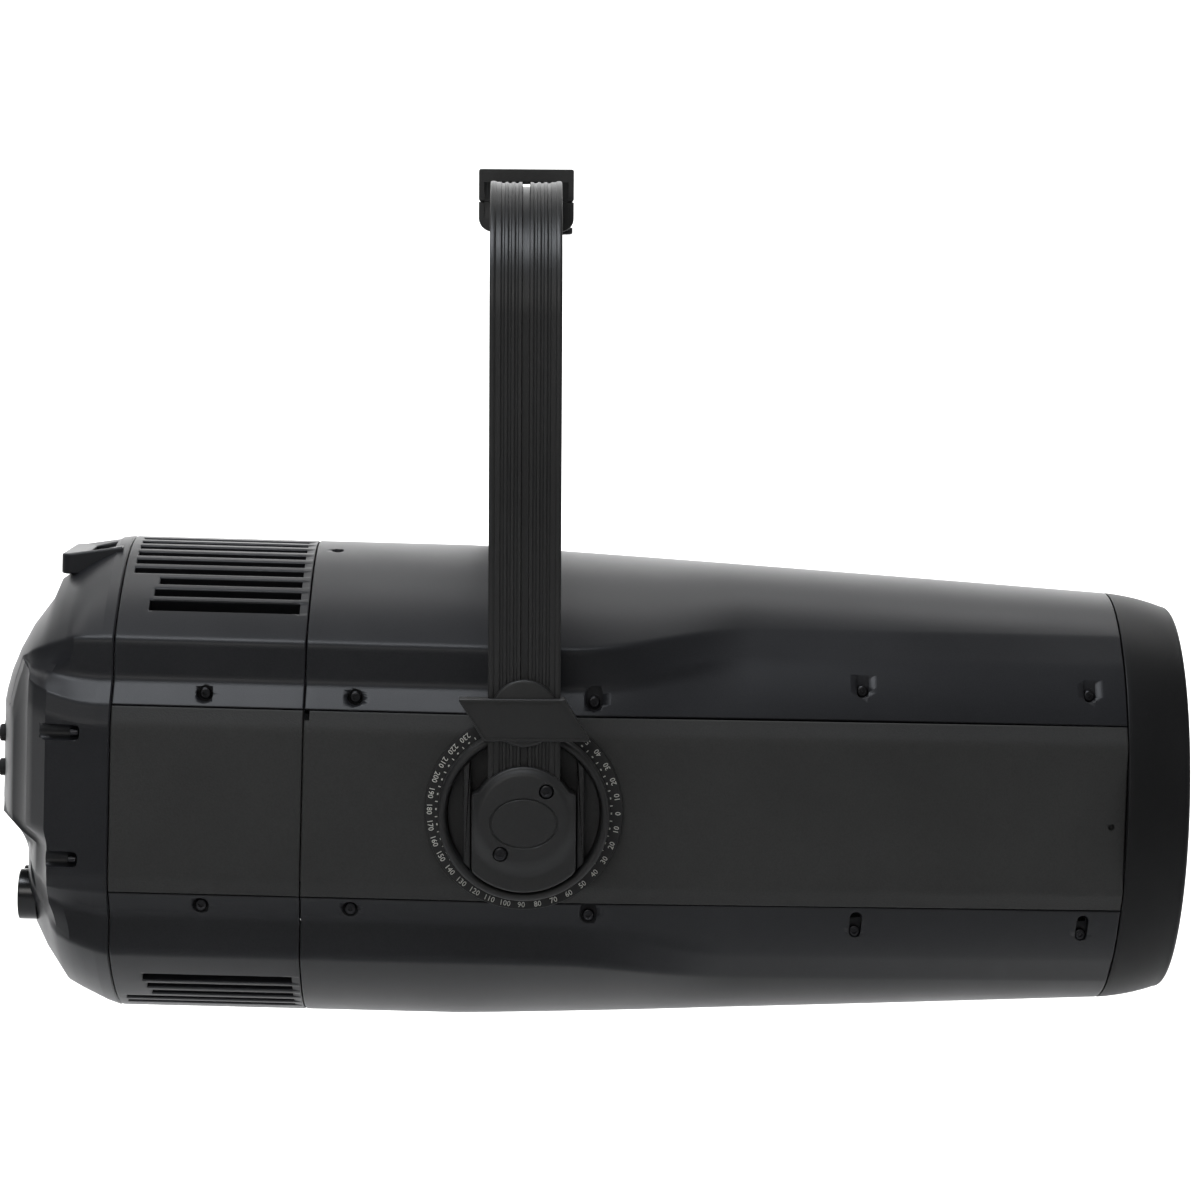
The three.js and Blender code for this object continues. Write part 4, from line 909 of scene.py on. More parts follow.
class LUMINAIRE_OT_rear_cap(bpy.types.Operator):
    """Rear cap and display hood in one moulding. Every column of the body's section runs back at its
    own row depths; the crown falls by one broken line and the shoulder by another, so that they meet
    at the hood's top corner, while the width keeps full to a plan crease and then draws in straight"""
    bl_idname = "luminaire.rear_cap"
    bl_label = "Rear Cap"

    def execute(self, context):
        mouth = SHAPE.rear_seam - SHAPE.gap
        ring = whole_ring(np.full(1, SHAPE.rear_seam))[0]
        sides = self.sides(ring, mouth)
        grid = np.concatenate([self.mouth_rows(ring, mouth), sides, self.rear_rows(sides[-1], mouth)])
        piece = build("rear_cap_moulding", capped(grid), seat, "shell", "housing",
                      ["rear_cap", "display_hood"], crease=CAP_CREASE)
        cut(piece, self.cutters(), seat, crease=CAP_CREASE)
        return {"FINISHED"}

    def mouth_rows(self, ring, mouth):
        """A shallow hollow inside the cap's mouth, then the rounded lip round it."""
        def row(x, scale):
            """The section ring at x, drawn in by scale."""
            return np.stack([np.full(len(ring), x), *(ring * scale).T], -1)

        lip = casing().lip * np.array((1.0, 0.5, 0.15))
        hollow = [row(mouth - deep, scale) for deep, scale in MOUTH_RINGS]
        lips = [row(mouth - lip[2 - k] * (k > 0), 1 - lip[k] / SHAPE.half_height) for k in range(3)]
        return np.stack(hollow + lips)

    def sides(self, ring, mouth):
        """The section carried back: each column's depths, then its heights, then its widths."""
        c = casing()
        y, z = ring[None, :, 0], ring[None, :, 1]
        high = np.abs(z)
        crown, hood = smooth(*CROWN_BAND, high), hood_share(z)
        top, flank, foot, waist = (np.array(rows, float)[:, None]
                                   for rows in (ROWS_TOP, ROWS_SIDE, ROWS_FOOT, ROWS_WAIST))
        depth = mix(mix(waist, foot, crown), mix(flank, top, crown), hood)

        # heights: ledge and side stretch to the corner, dome cells lie between shoulder and crown
        shoulder = c.shoulder_z * law(SHOULDER_LAW, depth)
        above = np.clip((high - c.shoulder_z) / (SHAPE.half_height - c.shoulder_z), 0, 1)
        dome = shoulder + above * np.maximum(law(CROWN_LAW, depth) * MM - shoulder, LEAST)
        edge = np.minimum(c.panel_half * law(LEDGE_LAW, depth), shoulder - LEAST)
        between = np.clip((high - c.panel_half) / (c.shoulder_z - c.panel_half), 0, 1)
        facet = mix(edge, shoulder, between)
        side = high * edge / c.panel_half
        tall_top = np.where(high > c.shoulder_z, dome, np.where(high > c.panel_half, facet, side))
        tall_foot = high * mix(1.0, law(FOOT_LAW, depth) * MM / SHAPE.half_height, smooth(*BELLY_BAND, high))
        tall = np.sign(z) * np.where(z > 0, tall_top, tall_foot)

        # widths: full to the plan crease, then straight in; the foot draws in less
        crease = mix(*HOOD_CREASE, crown)
        drawn = np.clip((depth - crease) / (70 - crease), 0, 1)
        low_drawn = np.clip((depth - mix(*FOOT_CREASE, crown)) / 16.0, 0, 1.6)
        width = mix(1 - FOOT_DRAW * low_drawn, 1 - (1 - PLAN_END) * drawn, hood) * (1 - DRAFT * depth)
        reach = mix(np.clip((depth - 34) / 20, 0, 1), np.clip((depth - 48) / 22, 0, 1), hood)
        back = mouth - depth * MM + plan_bow(y * width, hood) * reach
        back[0] = mouth - c.lip
        return np.stack([back, y * width, tall], -1)

    def rear_rows(self, last, mouth):
        """The rear face: rings drawn together towards the middle, its plane bowed in plan."""
        rear = []
        for scale, proud in REAR_RINGS:
            step = REAR_MIDDLE + (last - REAR_MIDDLE) * scale
            share = hood_share(step[:, 2])
            deep = mix(CAD_DEPTH_FOOT, CAD_DEPTH_TOP, share) + proud
            step[:, 0] = mouth - deep + plan_bow(step[:, 1], share)
            rear.append(step)
        return np.stack(rear)

    def cutters(self):
        """Finger pocket, connector holes, screw channels, display recess, key and knob holes."""
        back = SHAPE.rear_seam - SHAPE.gap - CAD_DEPTH_TOP
        shapes = [block(*FINGER_ROOM)]
        for port in PORTS:
            _, high, y, z, r = round_part(port)
            shapes.append(rod("x", r - 0.0012, -0.32, high[0] + 0.002, y, z))
        channel = turned(CHANNEL_PROFILE, "x", 40)
        shapes += [moved(channel, (0, side * y, z)) for y, z in CHANNEL_PLACES for side in (1, -1)]
        low, high = housing_span("display_window")
        outline = box_outline(low[1:], high[1:], WINDOW_CORNER)
        shapes.append(prism(outline, BEHIND, back + 0.004, "x", 0.0, 1))
        for key in ("menu_button", "enter_button"):
            _, _, y, z, r = round_part(key)
            shapes.append(rod("x", r + 0.0003, BEHIND, back + 0.006, y, z, 40))
        _, high, y, z, _ = round_part("encoder_knob")
        shapes.append(rod("x", 0.0034, BEHIND, high[0] + 0.002, y, z, 40))
        return shapes


# ---- rear fittings ------------------------------------------------------------------------------
class LUMINAIRE_OT_display_controls(bpy.types.Operator):
    """Window, two keys and the turning knob with its ribbed skirt"""
    bl_idname = "luminaire.display_controls"
    bl_label = "Display Controls"

    def execute(self, context):
        low, high = housing_span("display_window")
        pane = prism(box_outline(low[1:], high[1:], WINDOW_CORNER), low[0], high[0], "x", 0.0004)
        build("display_glass", pane, seat, "window", "housing", ["display_window"])
        for key, body in (("menu_button", "menu_key"), ("enter_button", "enter_key")):
            low, high, y, z, r = round_part(key)
            profile = [(low[0], 0), (low[0] + 0.0001, r * 0.5), (low[0] + 0.0004, r * 0.82),
                       (low[0] + 0.0012, r), (high[0], r), (high[0], 0)]
            build(key + "_cap", moved(turned(profile, "x", 48), (0, y, z)), seat, "rubber", body,
                  [key])
        low, high, y, z, r = round_part("encoder_knob")
        angle = circle(144)
        ribs = 1 - 0.035 * (np.cos(angle * 24) > 0.2)
        rows = [(low[0], 0.55 * r), (low[0] + 0.0003, 0.80 * r), (low[0] + 0.0016, 0.90 * r * ribs),
                (low[0] + 0.0035, 0.95 * r * ribs), (high[0] - 0.0045, r * ribs),
                (high[0] - 0.0044, 0.9 * r), (high[0] - 0.0040, 0.4 * r), (high[0], 0.4 * r)]
        build("encoder_grip", moved(rings(rows, angle, "x"), (0, y, z)), seat, "rubber", "encoder",
              ["encoder_knob"])
        return {"FINISHED"}


class LUMINAIRE_OT_connectors(bpy.types.Operator):
    """Round locking connectors in the back: flange, keyed socket and dark bore"""
    bl_idname = "luminaire.connectors"
    bl_label = "Connectors"

    def execute(self, context):
        for key in PORTS:
            low, high, y, z, r = round_part(key)
            back = low[0]
            deep = min(0.014, high[0] - low[0] - 0.003)
            bore = r * 0.72
            profile = [(high[0], 0), (high[0], r * 0.86), (back + 0.012, r * 0.86), (back + 0.0105, r),
                       (back + 0.0008, r), (back + 0.0002, r * 0.975), (back, r * 0.94),
                       (back, r * 0.80), (back + 0.0006, bore), (back + deep, bore), (back + deep, 0)]
            build(key + "_body", moved(turned(profile, "x", 72), (0, y, z)), seat, "gloss", "housing",
                  [key])
            pins = 3 if key.startswith("power") else 5
            stem = turned([(back + deep - 0.0001, 0), (back + deep - 0.0001, 0.0011), (back + 0.005, 0.0011),
                           (back + 0.0043, 0.0006), (back + 0.0042, 0)], "x", 16)
            stems = [moved(stem, (0, y + 0.45 * bore * math.cos(a), z + 0.45 * bore * math.sin(a)))
                     for a in np.radians(90 + np.arange(pins) * 360 / pins)]
            build(key + "_pins", merged(*stems), seat, "steel", "housing")
        return {"FINISHED"}


class LUMINAIRE_OT_carry_handle(bpy.types.Operator):
    """Moulded carry handle: a rounded bar across the back of the crown, its arms rising to the seam"""
    bl_idname = "luminaire.carry_handle"
    bl_label = "Carry Handle"

    def execute(self, context):
        low, high = housing_span("carry_handle")
        w = high[1]
        bar, arm, bar_top = 0.0135, 0.0130, 0.1300
        corner, inner = 0.006, 0.004
        outer = np.concatenate([
            [(high[0], w)], arc((low[0] + corner, w - corner), corner, 90, 180, 10),
            arc((low[0] + corner, -w + corner), corner, 180, 270, 10), [(high[0], -w)],
            [(high[0], -w + arm)], arc((low[0] + bar + inner, -w + arm + inner), inner, 270, 180, 8),
            arc((low[0] + bar + inner, w - arm - inner), inner, 180, 90, 8), [(high[0], w - arm)]])
        points, faces = prism(outer, low[2], high[2], "z", 0.0018, 5)
        rise = np.clip((points[:, 0] - low[0] - bar) / (SHAPE.rear_seam - low[0] - bar), 0, 1)
        tall = mix(bar_top, high[2], rise) - low[2]
        points[:, 2] = low[2] + (points[:, 2] - low[2]) * tall / (high[2] - low[2])
        build("carry_handle_moulding", (points, faces), seat, "shell", "housing",
              ["carry_handle"])
        return {"FINISHED"}


# ---- front --------------------------------------------------------------------------------------
class LUMINAIRE_OT_front_ring(bpy.types.Operator):
    """Front ring: a bowed cone with a rolled rim, opened inside to the lens seat"""
    bl_idname = "luminaire.front_ring"
    bl_label = "Front Ring"

    def execute(self, context):
        r1, front = SHAPE.front_radius, SHAPE.ring_front
        back = SHAPE.ring_seam + SHAPE.gap
        rim, tip, well, step, root = 0.1127, 0.0036, 0.1030, 0.1012, 0.1080
        t = np.linspace(0, 1, 14)
        bow = r1 - (r1 - rim) * (0.45 * t + 0.55 * t ** 2.2)
        x = back + 0.0009 + (front - back - 0.0045) * t
        outside = np.stack([x, bow], -1)
        lip = arc((front - tip, rim - tip), tip, 75, -20, 8)
        profile = np.concatenate([[(back, r1 - 0.0009), (back + 0.0002, r1 - 0.0003)], outside, lip,
                                  [(front - 0.0050, rim - 0.0064), (back + 0.0160, well),
                                   (back + 0.0155, step), (back + 0.0120, step),
                                   (back + 0.0120, well), (back, root)]])
        build("front_ring_bezel", turned(profile, "x", 192), seat, "ring", "housing",
              ["front_ring"])
        return {"FINISHED"}


class LUMINAIRE_OT_front_lens(bpy.types.Operator):
    """Front lens: flat rear face and a shallow spherical front, with a ground edge"""
    bl_idname = "luminaire.front_lens"
    bl_label = "Front Lens"

    def execute(self, context):
        low, high = housing_span("front_lens")
        r = high[1]
        bulge, edge = 0.012, high[0] - 0.012
        radius = (r * r + bulge * bulge) / (2 * bulge)
        t = np.linspace(0, math.asin((r - 0.0006) / radius), 22)
        dome = np.stack([high[0] - radius * (1 - np.cos(t)), radius * np.sin(t)], -1)
        profile = np.concatenate([dome, [(edge - 0.0006, r), (low[0] + 0.0006, r), (low[0], r - 0.0006),
                                         (low[0], 0)]])
        profile[0, 1] = 0
        build("front_lens_glass", turned(profile, "x", 144), seat, "lens", "housing",
              ["front_lens"], crease=25)
        return {"FINISHED"}


# ---- yoke ---------------------------------------------------------------------------------------
def band_profile():
    """Yoke strip's outer face across its width: edge bead, three thin ribs, groove, and mirrored.
    Returns (across, height above the strip's outer face)."""
    low, high = yoke_span("yoke_band")
    half = (high[0] - low[0]) / 2
    u = np.linspace(0, half, 170)
    bead = 0.0034
    rise = np.zeros_like(u)
    edge = np.abs(u - (half - bead / 2)) / (bead / 2)
    rise = np.where(edge < 1, 0.0006 * np.sqrt(np.clip(1 - edge ** 2, 0, 1)), rise)
    for place in (0.0052, 0.0090, 0.0128):
        near = np.clip(np.abs(u - place) / 0.0011, 0, 1)
        rise = np.where(near < 1, -0.0007 * np.sqrt(1 - near ** 2), rise)
    groove = np.clip((0.0023 - u) / 0.0004, 0, 1)
    rise = mix(rise, -0.0026, groove)
    u = np.concatenate([-u[:0:-1], u])
    return u, np.concatenate([rise[:0:-1], rise])


class LUMINAIRE_OT_yoke_band(bpy.types.Operator):
    """Ribbed alloy strip bent into an arch: its section carried along arm, bend, top, bend, arm"""
    bl_idname = "luminaire.yoke_band"
    bl_label = "Yoke Band"

    def execute(self, context):
        low, high = yoke_span("yoke_band")
        thick, bend, proud, bevel = 0.008, 0.074, 0.0006, 0.0006
        outer_y, top, foot = high[1] - proud, high[2] - proud, low[2]
        t = np.radians(np.linspace(0, 90, 25))
        round_n = np.stack([np.cos(t), np.sin(t)], -1)
        corner = np.array((outer_y - bend, top - bend)) + bend * round_n
        rise = np.linspace(foot, top - bend, 14)[:-1, None]
        arm = np.concatenate([np.full_like(rise, outer_y), rise], 1)
        path = np.concatenate([arm, corner])
        normals = np.concatenate([np.tile((1.0, 0.0), (len(arm), 1)), round_n])
        flip = np.array((-1, 1))
        path = np.concatenate([path, path[::-1] * flip])
        normals = np.concatenate([normals, normals[::-1] * flip])
        u, rise = band_profile()
        half = u[-1]
        bottom = [(half, bevel - thick), (half - bevel, -thick), (bevel - half, -thick),
                  (-half, bevel - thick)]
        section = np.concatenate([np.stack([u, rise], -1), bottom])
        across = section[:, 0][None] * np.ones((len(path), 1))
        yz = path[:, None] + normals[:, None] * section[None, :, 1:]
        strip = capped(np.concatenate([across[..., None], yz], -1))
        build("yoke_band_strip", strip, hang, "coat", "yoke", ["yoke_band"], crease=30)
        return {"FINISHED"}


class LUMINAIRE_OT_saddle(bpy.types.Operator):
    """Two-part saddle clamped round the crown of the yoke, with its screws"""
    bl_idname = "luminaire.saddle"
    bl_label = "Saddle"

    def execute(self, context):
        low, high = row_span("saddle_top")
        half_x, half_y, split = high[0], high[1], low[2]
        band_high = row_span("yoke_band")[1]
        band_half, plate = band_high[0] + 0.0003, band_high[2] + 0.0002
        foot_low, foot_high = row_span("saddle_bottom")
        base = foot_low[2]
        outline = rounded_outline([(-half_x, 0.0), (-half_x, split), (-band_half, split),
                                   (-band_half, plate), (band_half, plate), (band_half, split),
                                   (half_x, split), (half_x, 0.0)], 0.0015, 5)
        top = build("saddle_top_clamp", prism(outline, -half_y, half_y, "y", 0.0006), stay, "coat", "yoke",
                    ["saddle_top"])
        inset, sunk = half_x - 0.0032, 0.0014
        ends = [block((-inset, min(way * (half_y - sunk), way * 0.05), base + 0.0075),
                      (inset, max(way * (half_y - sunk), way * 0.05), plate + 0.0002)) for way in (1, -1)]
        cut(top, [rod("z", 0.0065, -0.1, 0.1, 0, 0, 64)])
        cut(top, ends)
        seat_x, seam, corner = band_half - 0.0010, split - 0.0003, 0.0075
        outline = np.concatenate([
            [(-half_x, seam)], arc((-half_x + corner, base + corner), corner, 180, 270, 10),
            arc((half_x - corner, base + corner), corner, 270, 360, 10),
            [(half_x, seam), (seat_x, seam), (seat_x, foot_high[2]), (-seat_x, foot_high[2]),
             (-seat_x, seam)]])
        bottom = build("saddle_bottom_clamp", prism(outline, foot_low[1], foot_high[1], "y", 0.0008), stay,
                       "coat", "yoke", ["saddle_bottom"])
        places = [sum(row_span(f"saddle_screw_{number}"))[:2] / 2 for number in (1, 2)]
        cut(bottom, [rod("z", 0.0043, base - 0.01, base + 0.003, *place, 32) for place in places])
        cut(bottom, ends)
        for number, place in enumerate(places, 1):
            screw = socket_screw("z", -1, 0.0040, base - 0.0015, base + 0.0025, *place)
            build(f"saddle_screw_head_{number}", screw, stay, "screw", "yoke",
                  [f"saddle_screw_{number}"])
        return {"FINISHED"}


class LUMINAIRE_OT_arm_badges(bpy.types.Operator):
    """Blank slanted badges on the arms: a raised border, a sunk field and a round boss behind"""
    bl_idname = "luminaire.arm_badges"
    bl_label = "Arm Badges"

    def execute(self, context):
        low_z, high_z, slant, half, boss_z = 0.043, 0.0665, 0.0145, 0.0294, 0.0582
        low, high = yoke_span("arm_badge_far")
        back, front, face = low[1], high[1], yoke_span("yoke_band")[1][1]
        corners = np.array([(-half - slant / 2, high_z), (half - slant / 2, high_z),
                            (half + slant / 2, low_z), (-half + slant / 2, low_z)])
        middle = np.array((0, (low_z + high_z) / 2))
        plate = rounded_outline(corners, 0.0012, 5)
        field = rounded_outline(middle + (corners - middle) * np.array((0.945, 0.86)), 0.0009, 5)
        boss = [(back + 0.0001, 0), (back + 0.0001, 0.0187), (face + 0.0018, 0.0187),
                (face + 0.0024, 0.0183), (face + 0.0028, 0.0172), (face + 0.0032, 0)]
        for side, sign in SIDES.items():
            piece = build(f"arm_badge_plate_{side}",
                          prism(plate, *sorted((sign * back, sign * front)), "y", 0.0007, 4), hang, "coat",
                          "yoke", [f"arm_badge_{side}"])
            low, high = sorted((sign * (front - 0.0006), sign * (front + 0.01)))
            cut(piece, [prism(field, low, high, "y", 0.0, 1)], hang)
            build(f"arm_badge_boss_{side}", moved(facing(boss, sign, 72), (0, 0, boss_z)), hang, "coat",
                  "yoke")
        return {"FINISHED"}


# ---- tilt hubs ----------------------------------------------------------------------------------
HUB_INNER, CROWN_FLAT, CROWN_FOOT, CROWN_FALL, CROWN_BOW = 0.0428, 0.0235, 0.0335, 0.0050, 0.0004
PIVOT_BORE = 0.009
DIAL_STEP, DIAL_STEPS = 10, range(-5, 24)
NUMERAL_SIZE, NUMERAL_RADIUS, TICK_RADIUS, PRINT_HEIGHT = 0.0043, 0.0528, 0.0490, 0.00016
TICKS = ((0.0, 0.00055, 0.0006), (5.0, 0.00025, 0.0012))
CHEEK_IN, CHEEK_OUT = 0.0294, 0.0334
COVER_SIDES, COVER_CROWN, COVER_RIM, SKIRT_TOP, COVER_SOFT = 240, 0.0288, 0.0416, 0.0135, 0.0014


def facing(profile, sign, sides):
    """Surface of revolution of (outwards, radius) points round the tilt axis, on the side of sign."""
    return turned([(sign * out, radius) for out, radius in profile], "y", sides)


def cover_outline(angle, half, crown, rim):
    """Cover's edge as a distance from the tilt axis: the crown's circle joined to straight sides
    below the shoulder and to the cup's rim at the foot."""
    c, s = np.cos(angle), np.sin(angle)
    shoulder = np.where(s > 0, SKIRT_TOP / np.maximum(s, 1e-6), 1.0)
    reach = np.minimum(np.minimum(half / np.maximum(np.abs(c), 1e-6), rim), shoulder)
    edge = np.maximum(crown, reach)
    for _ in range(3):
        edge = (np.roll(edge, 1) + 2 * edge + np.roll(edge, -1)) / 4
    return edge


class LUMINAIRE_OT_tilt_dials(bpy.types.Operator):
    """Degree dials on the housing: a disc with printed numerals every ten degrees and ticks between"""
    bl_idname = "luminaire.tilt_dials"
    bl_label = "Tilt Dials"

    def execute(self, context):
        low, high = housing_span("tilt_dial_far")
        r, back, front = high[0], low[1], high[1]
        profile = [(back, PIVOT_BORE), (back, r - 0.0004), (back + 0.0004, r), (front - 0.0007, r),
                   (front - 0.0002, r - 0.0002), (front, r - 0.0007), (front, PIVOT_BORE)]
        for side, sign in SIDES.items():
            build(f"tilt_dial_plate_{side}", facing(profile, sign, 144), seat, "dial", "housing",
                  [f"tilt_dial_{side}"])
            self.print_marks(side, sign, front)
        return {"FINISHED"}

    def print_marks(self, side, sign, front):
        """Numerals and ticks, turned so that each one's foot points away from the dial's centre."""
        shapes = []
        for degrees in (step * DIAL_STEP for step in DIAL_STEPS):
            points, faces = glyph_mesh(str(abs(degrees)), NUMERAL_SIZE, PRINT_HEIGHT)
            shapes.append((dial_place(points, math.radians(-degrees), NUMERAL_RADIUS, sign, front), faces))
            for offset, wide, tall in TICKS:
                points, faces = block((-wide, -tall * 0.6, -0.0001), (wide, tall * 0.6, PRINT_HEIGHT))
                turn = math.radians(-degrees - offset)
                shapes.append((dial_place(points, turn, TICK_RADIUS, sign, front), faces))
        build(f"dial_numerals_{side}", merged(*shapes), seat, "marks", "housing", crease=20)


def glyph_mesh(text, size, height):
    """Text as a closed mesh lying flat, centred: points (across, up, out) and its faces."""
    curve = bpy.data.curves.new("numeral", "FONT")
    curve.body, curve.size, curve.extrude = text, size, height / 2
    curve.align_x, curve.align_y = "CENTER", "CENTER"
    curve.resolution_u = 2
    holder = linked("numeral", curve)
    mesh = evaluated_mesh(holder)
    work = bmesh.new()
    work.from_mesh(mesh)
    bmesh.ops.remove_doubles(work, verts=work.verts, dist=size * 0.002)
    bmesh.ops.triangulate(work, faces=work.faces)
    work.to_mesh(mesh)
    work.free()
    points = coordinates(mesh) + np.array((0, 0, height / 2))
    corners = np.empty(len(mesh.loops), np.int32)
    mesh.loops.foreach_get("vertex_index", corners)
    bpy.data.objects.remove(holder)
    bpy.data.curves.remove(curve)
    bpy.data.meshes.remove(mesh)
    return points, [corners.reshape(-1, 3)]


def dial_place(points, turn, radius, sign, front):
    """Flat (across, up, out) points to a place on the dial: up points at the centre."""
    inward = np.array((-math.cos(turn), 0.0, -math.sin(turn)))
    out = np.array((0.0, sign, 0.0))
    across = np.cross(inward, out)
    if sign > 0:
        inward = inward * np.array((-1, 1, 1))
        across = np.cross(inward, out)
    centre = -inward * radius + out * (front - 0.00003)
    return centre + points[:, :1] * across + points[:, 1:2] * inward + points[:, 2:] * out


class LUMINAIRE_OT_hub_cups(bpy.types.Operator):
    """Cups round the pivots: a rolled rim, a recessed floor, two upright cheeks and rubber washers"""
    bl_idname = "luminaire.hub_cups"
    bl_label = "Hub Cups"

    def execute(self, context):
        low, high = yoke_span("hub_cup_far")
        r, back, front = high[0], low[1], high[1]
        ground, rim = back + 0.004, r - HUB_INNER
        lip = arc((front - rim / 2, r - rim / 2), rim / 2, 90, -90, 15)
        bowl = [(back, PIVOT_BORE), (back, r - 0.0006), (back + 0.0006, r), *lip,
                (ground + 0.0016, HUB_INNER), (ground + 0.0005, HUB_INNER - 0.0005),
                (ground, HUB_INNER - 0.0016), (ground, PIVOT_BORE)]
        low, high = yoke_span("friction_washer_far")
        washer = [(low[1], PIVOT_BORE), (low[1], high[0]), (high[1], high[0]), (high[1], PIVOT_BORE)]
        reach_in, reach_out = (math.sqrt(HUB_INNER ** 2 - x ** 2) for x in (CHEEK_IN, CHEEK_OUT))
        for side, sign in SIDES.items():
            build(f"hub_cup_bowl_{side}", facing(bowl, sign, 160), hang, "hub", "yoke",
                  [f"hub_cup_{side}"])
            cheeks = []
            for way in (1, -1):
                outline = rounded_outline([(way * CHEEK_IN, -reach_in), (way * CHEEK_OUT, -reach_out),
                                           (way * CHEEK_OUT, reach_out), (way * CHEEK_IN, reach_in)],
                                          0.0003, 3)
                low, high = sorted((sign * (ground - 0.001), sign * (front - 0.0022)))
                cheeks.append(prism(outline, low, high, "y", 0.0007, 4))
            build(f"hub_cheeks_{side}", merged(*cheeks), hang, "hub", "yoke")
            build(f"friction_pad_{side}", facing(washer, sign, 96), hang, "rubber", "yoke",
                  [f"friction_washer_{side}"])
        return {"FINISHED"}


class LUMINAIRE_OT_hub_covers(bpy.types.Operator):
    """Covers over the arm ends: a crowned disc falling away to straight skirts, with an oval groove
    and two recessed screws"""
    bl_idname = "luminaire.hub_covers"
    bl_label = "Hub Covers"

    def execute(self, context):
        low, high = yoke_span("hub_cover_near")
        front, back, half = -low[1], -high[1], high[0]
        angle = circle(COVER_SIDES)
        edge = cover_outline(angle, half - 0.0002, COVER_CROWN, COVER_RIM)
        rho = (np.linspace(0, 1, 34)[1:] ** 0.8)[:, None] * (edge - COVER_SOFT)[None]
        fall = CROWN_BOW * (np.minimum(rho, CROWN_FLAT) / CROWN_FLAT) ** 2
        fall = fall + (CROWN_FALL - CROWN_BOW) * smooth(CROWN_FLAT, CROWN_FOOT, rho)
        turn = np.linspace(0, math.pi / 2, 6)[1:, None]
        rho = np.concatenate([rho, edge[None] - COVER_SOFT * (1 - np.sin(turn)), edge[None]])
        fall = np.concatenate([fall, fall[-1][None] + COVER_SOFT * (1 - np.cos(turn)),
                               np.full((1, COVER_SIDES), front - back)])
        faces = [grid_quads(len(rho), COVER_SIDES, wrap=True), fans(len(rho), COVER_SIDES)]
        places = [sum(yoke_span(f"cover_screw_near_{k}"))[::2] / 2 for k in (1, 2)]
        for side, sign in SIDES.items():
            grid = np.stack([rho * np.cos(angle), sign * (front - fall), rho * np.sin(angle)], -1)
            points = np.concatenate([grid.reshape(-1, 3), [(0, sign * front, 0), (0, sign * back, 0)]])
            cover = build(f"hub_cover_crown_{side}", (points, faces), hang, "hub", "yoke",
                          [f"hub_cover_{side}"])
            low, high = sorted((sign * (front - 0.0036), sign * (front + 0.01)))
            cutters = [oval_groove(sign, front)]
            cutters += [rod("y", 0.0042, low, high, *place, 40) for place in places]
            if side == "far":
                cutters.append(rod("y", 0.0054, front - 0.006, front + 0.01, 0, 0, 40))
            cut(cover, cutters, hang)
            for number, place in enumerate(places, 1):
                head = socket_screw("y", sign, 0.0039, sign * (front - 0.0010), sign * (front - 0.0036),
                                    *place)
                build(f"cover_screw_head_{side}_{number}", head, hang, "screw", "yoke",
                      [f"cover_screw_{side}_{number}"])
        return {"FINISHED"}


def oval_groove(sign, front):
    """Cutter for a shallow groove: a small round section carried round an ellipse."""
    wide, tall, shift, size = 0.0184, 0.0136, -0.0024, 0.00055
    t, section = circle(144), circle(10)[:, None]
    scale = 1 + size * np.cos(section) / 0.016
    depth = front - 0.0001 + size * 1.2 * np.sin(section)
    grid = np.stack([wide * scale * np.cos(t), sign * depth * np.ones_like(t),
                     tall * scale * np.sin(t) + shift], -1)
    return grid.reshape(-1, 3), [grid_quads(11, 144, wrap=True) % (10 * 144)]


class LUMINAIRE_OT_tilt_lock(bpy.types.Operator):
    """Fluted clamp knob: radius dips under each of six fingers, with a domed end and a stem"""
    bl_idname = "luminaire.tilt_lock"
    bl_label = "Tilt Lock Knob"

    def execute(self, context):
        low, high = yoke_span("tilt_lock_knob")
        r, front, back = 0.021, high[1], high[1] - 0.024
        angle = circle(180)
        flute = np.clip(np.cos(6 * angle), -0.2, 1) * 0.10
        rows = [(low[1], 0.0050, 0), (back, 0.0050, 0), (back, 0.0125, 0), (back + 0.0005, 0.0135, 0),
                (back + 0.0035, 0.0140, 0), (back + 0.0050, 0.96 * r, 0.7), (back + 0.0065, r, 1),
                (front - 0.0060, r, 1), (front - 0.0032, 0.975 * r, 1), (front - 0.0014, 0.91 * r, 0.9),
                (front - 0.0004, 0.80 * r, 0.6), (front, 0.62 * r, 0.2), (front, 0.50 * r, 0),
                (front - 0.0006, 0.47 * r, 0), (front - 0.0006, 0.2 * r, 0)]
        grip = rings([(y, radius * (1 - share * flute)) for y, radius, share in rows], angle, "y")
        build("tilt_lock_grip", grip, hang, "rubber", "tilt_lock", ["tilt_lock_knob"])
        return {"FINISHED"}


class LUMINAIRE_OT_casing_screws(bpy.types.Operator):
    """Screw heads sunk in the casing's round pockets and in the long channels of the rear cap"""
    bl_idname = "luminaire.casing_screws"
    bl_label = "Casing Screws"

    def execute(self, context):
        heads = [socket_screw("y", sign, 0.0034, sign * (y - 0.0030), sign * (y - 0.0062), x, level * z,
                              0.0013)
                 for x, (y, z) in ((x, ledge_point(x)) for x in POCKET_PLACES)
                 for sign in (1, -1) for level in (1, -1)]
        build("casing_screw_heads", merged(*heads), seat, "screw", "housing")
        heads = [socket_screw("x", -1, 0.0022, -0.2545, -0.2500, side * (y - 0.0020), z, 0.0010)
                 for side in (1, -1) for y, z in CHANNEL_PLACES]
        build("cap_screw_heads", merged(*heads), seat, "screw", "housing")
        return {"FINISHED"}


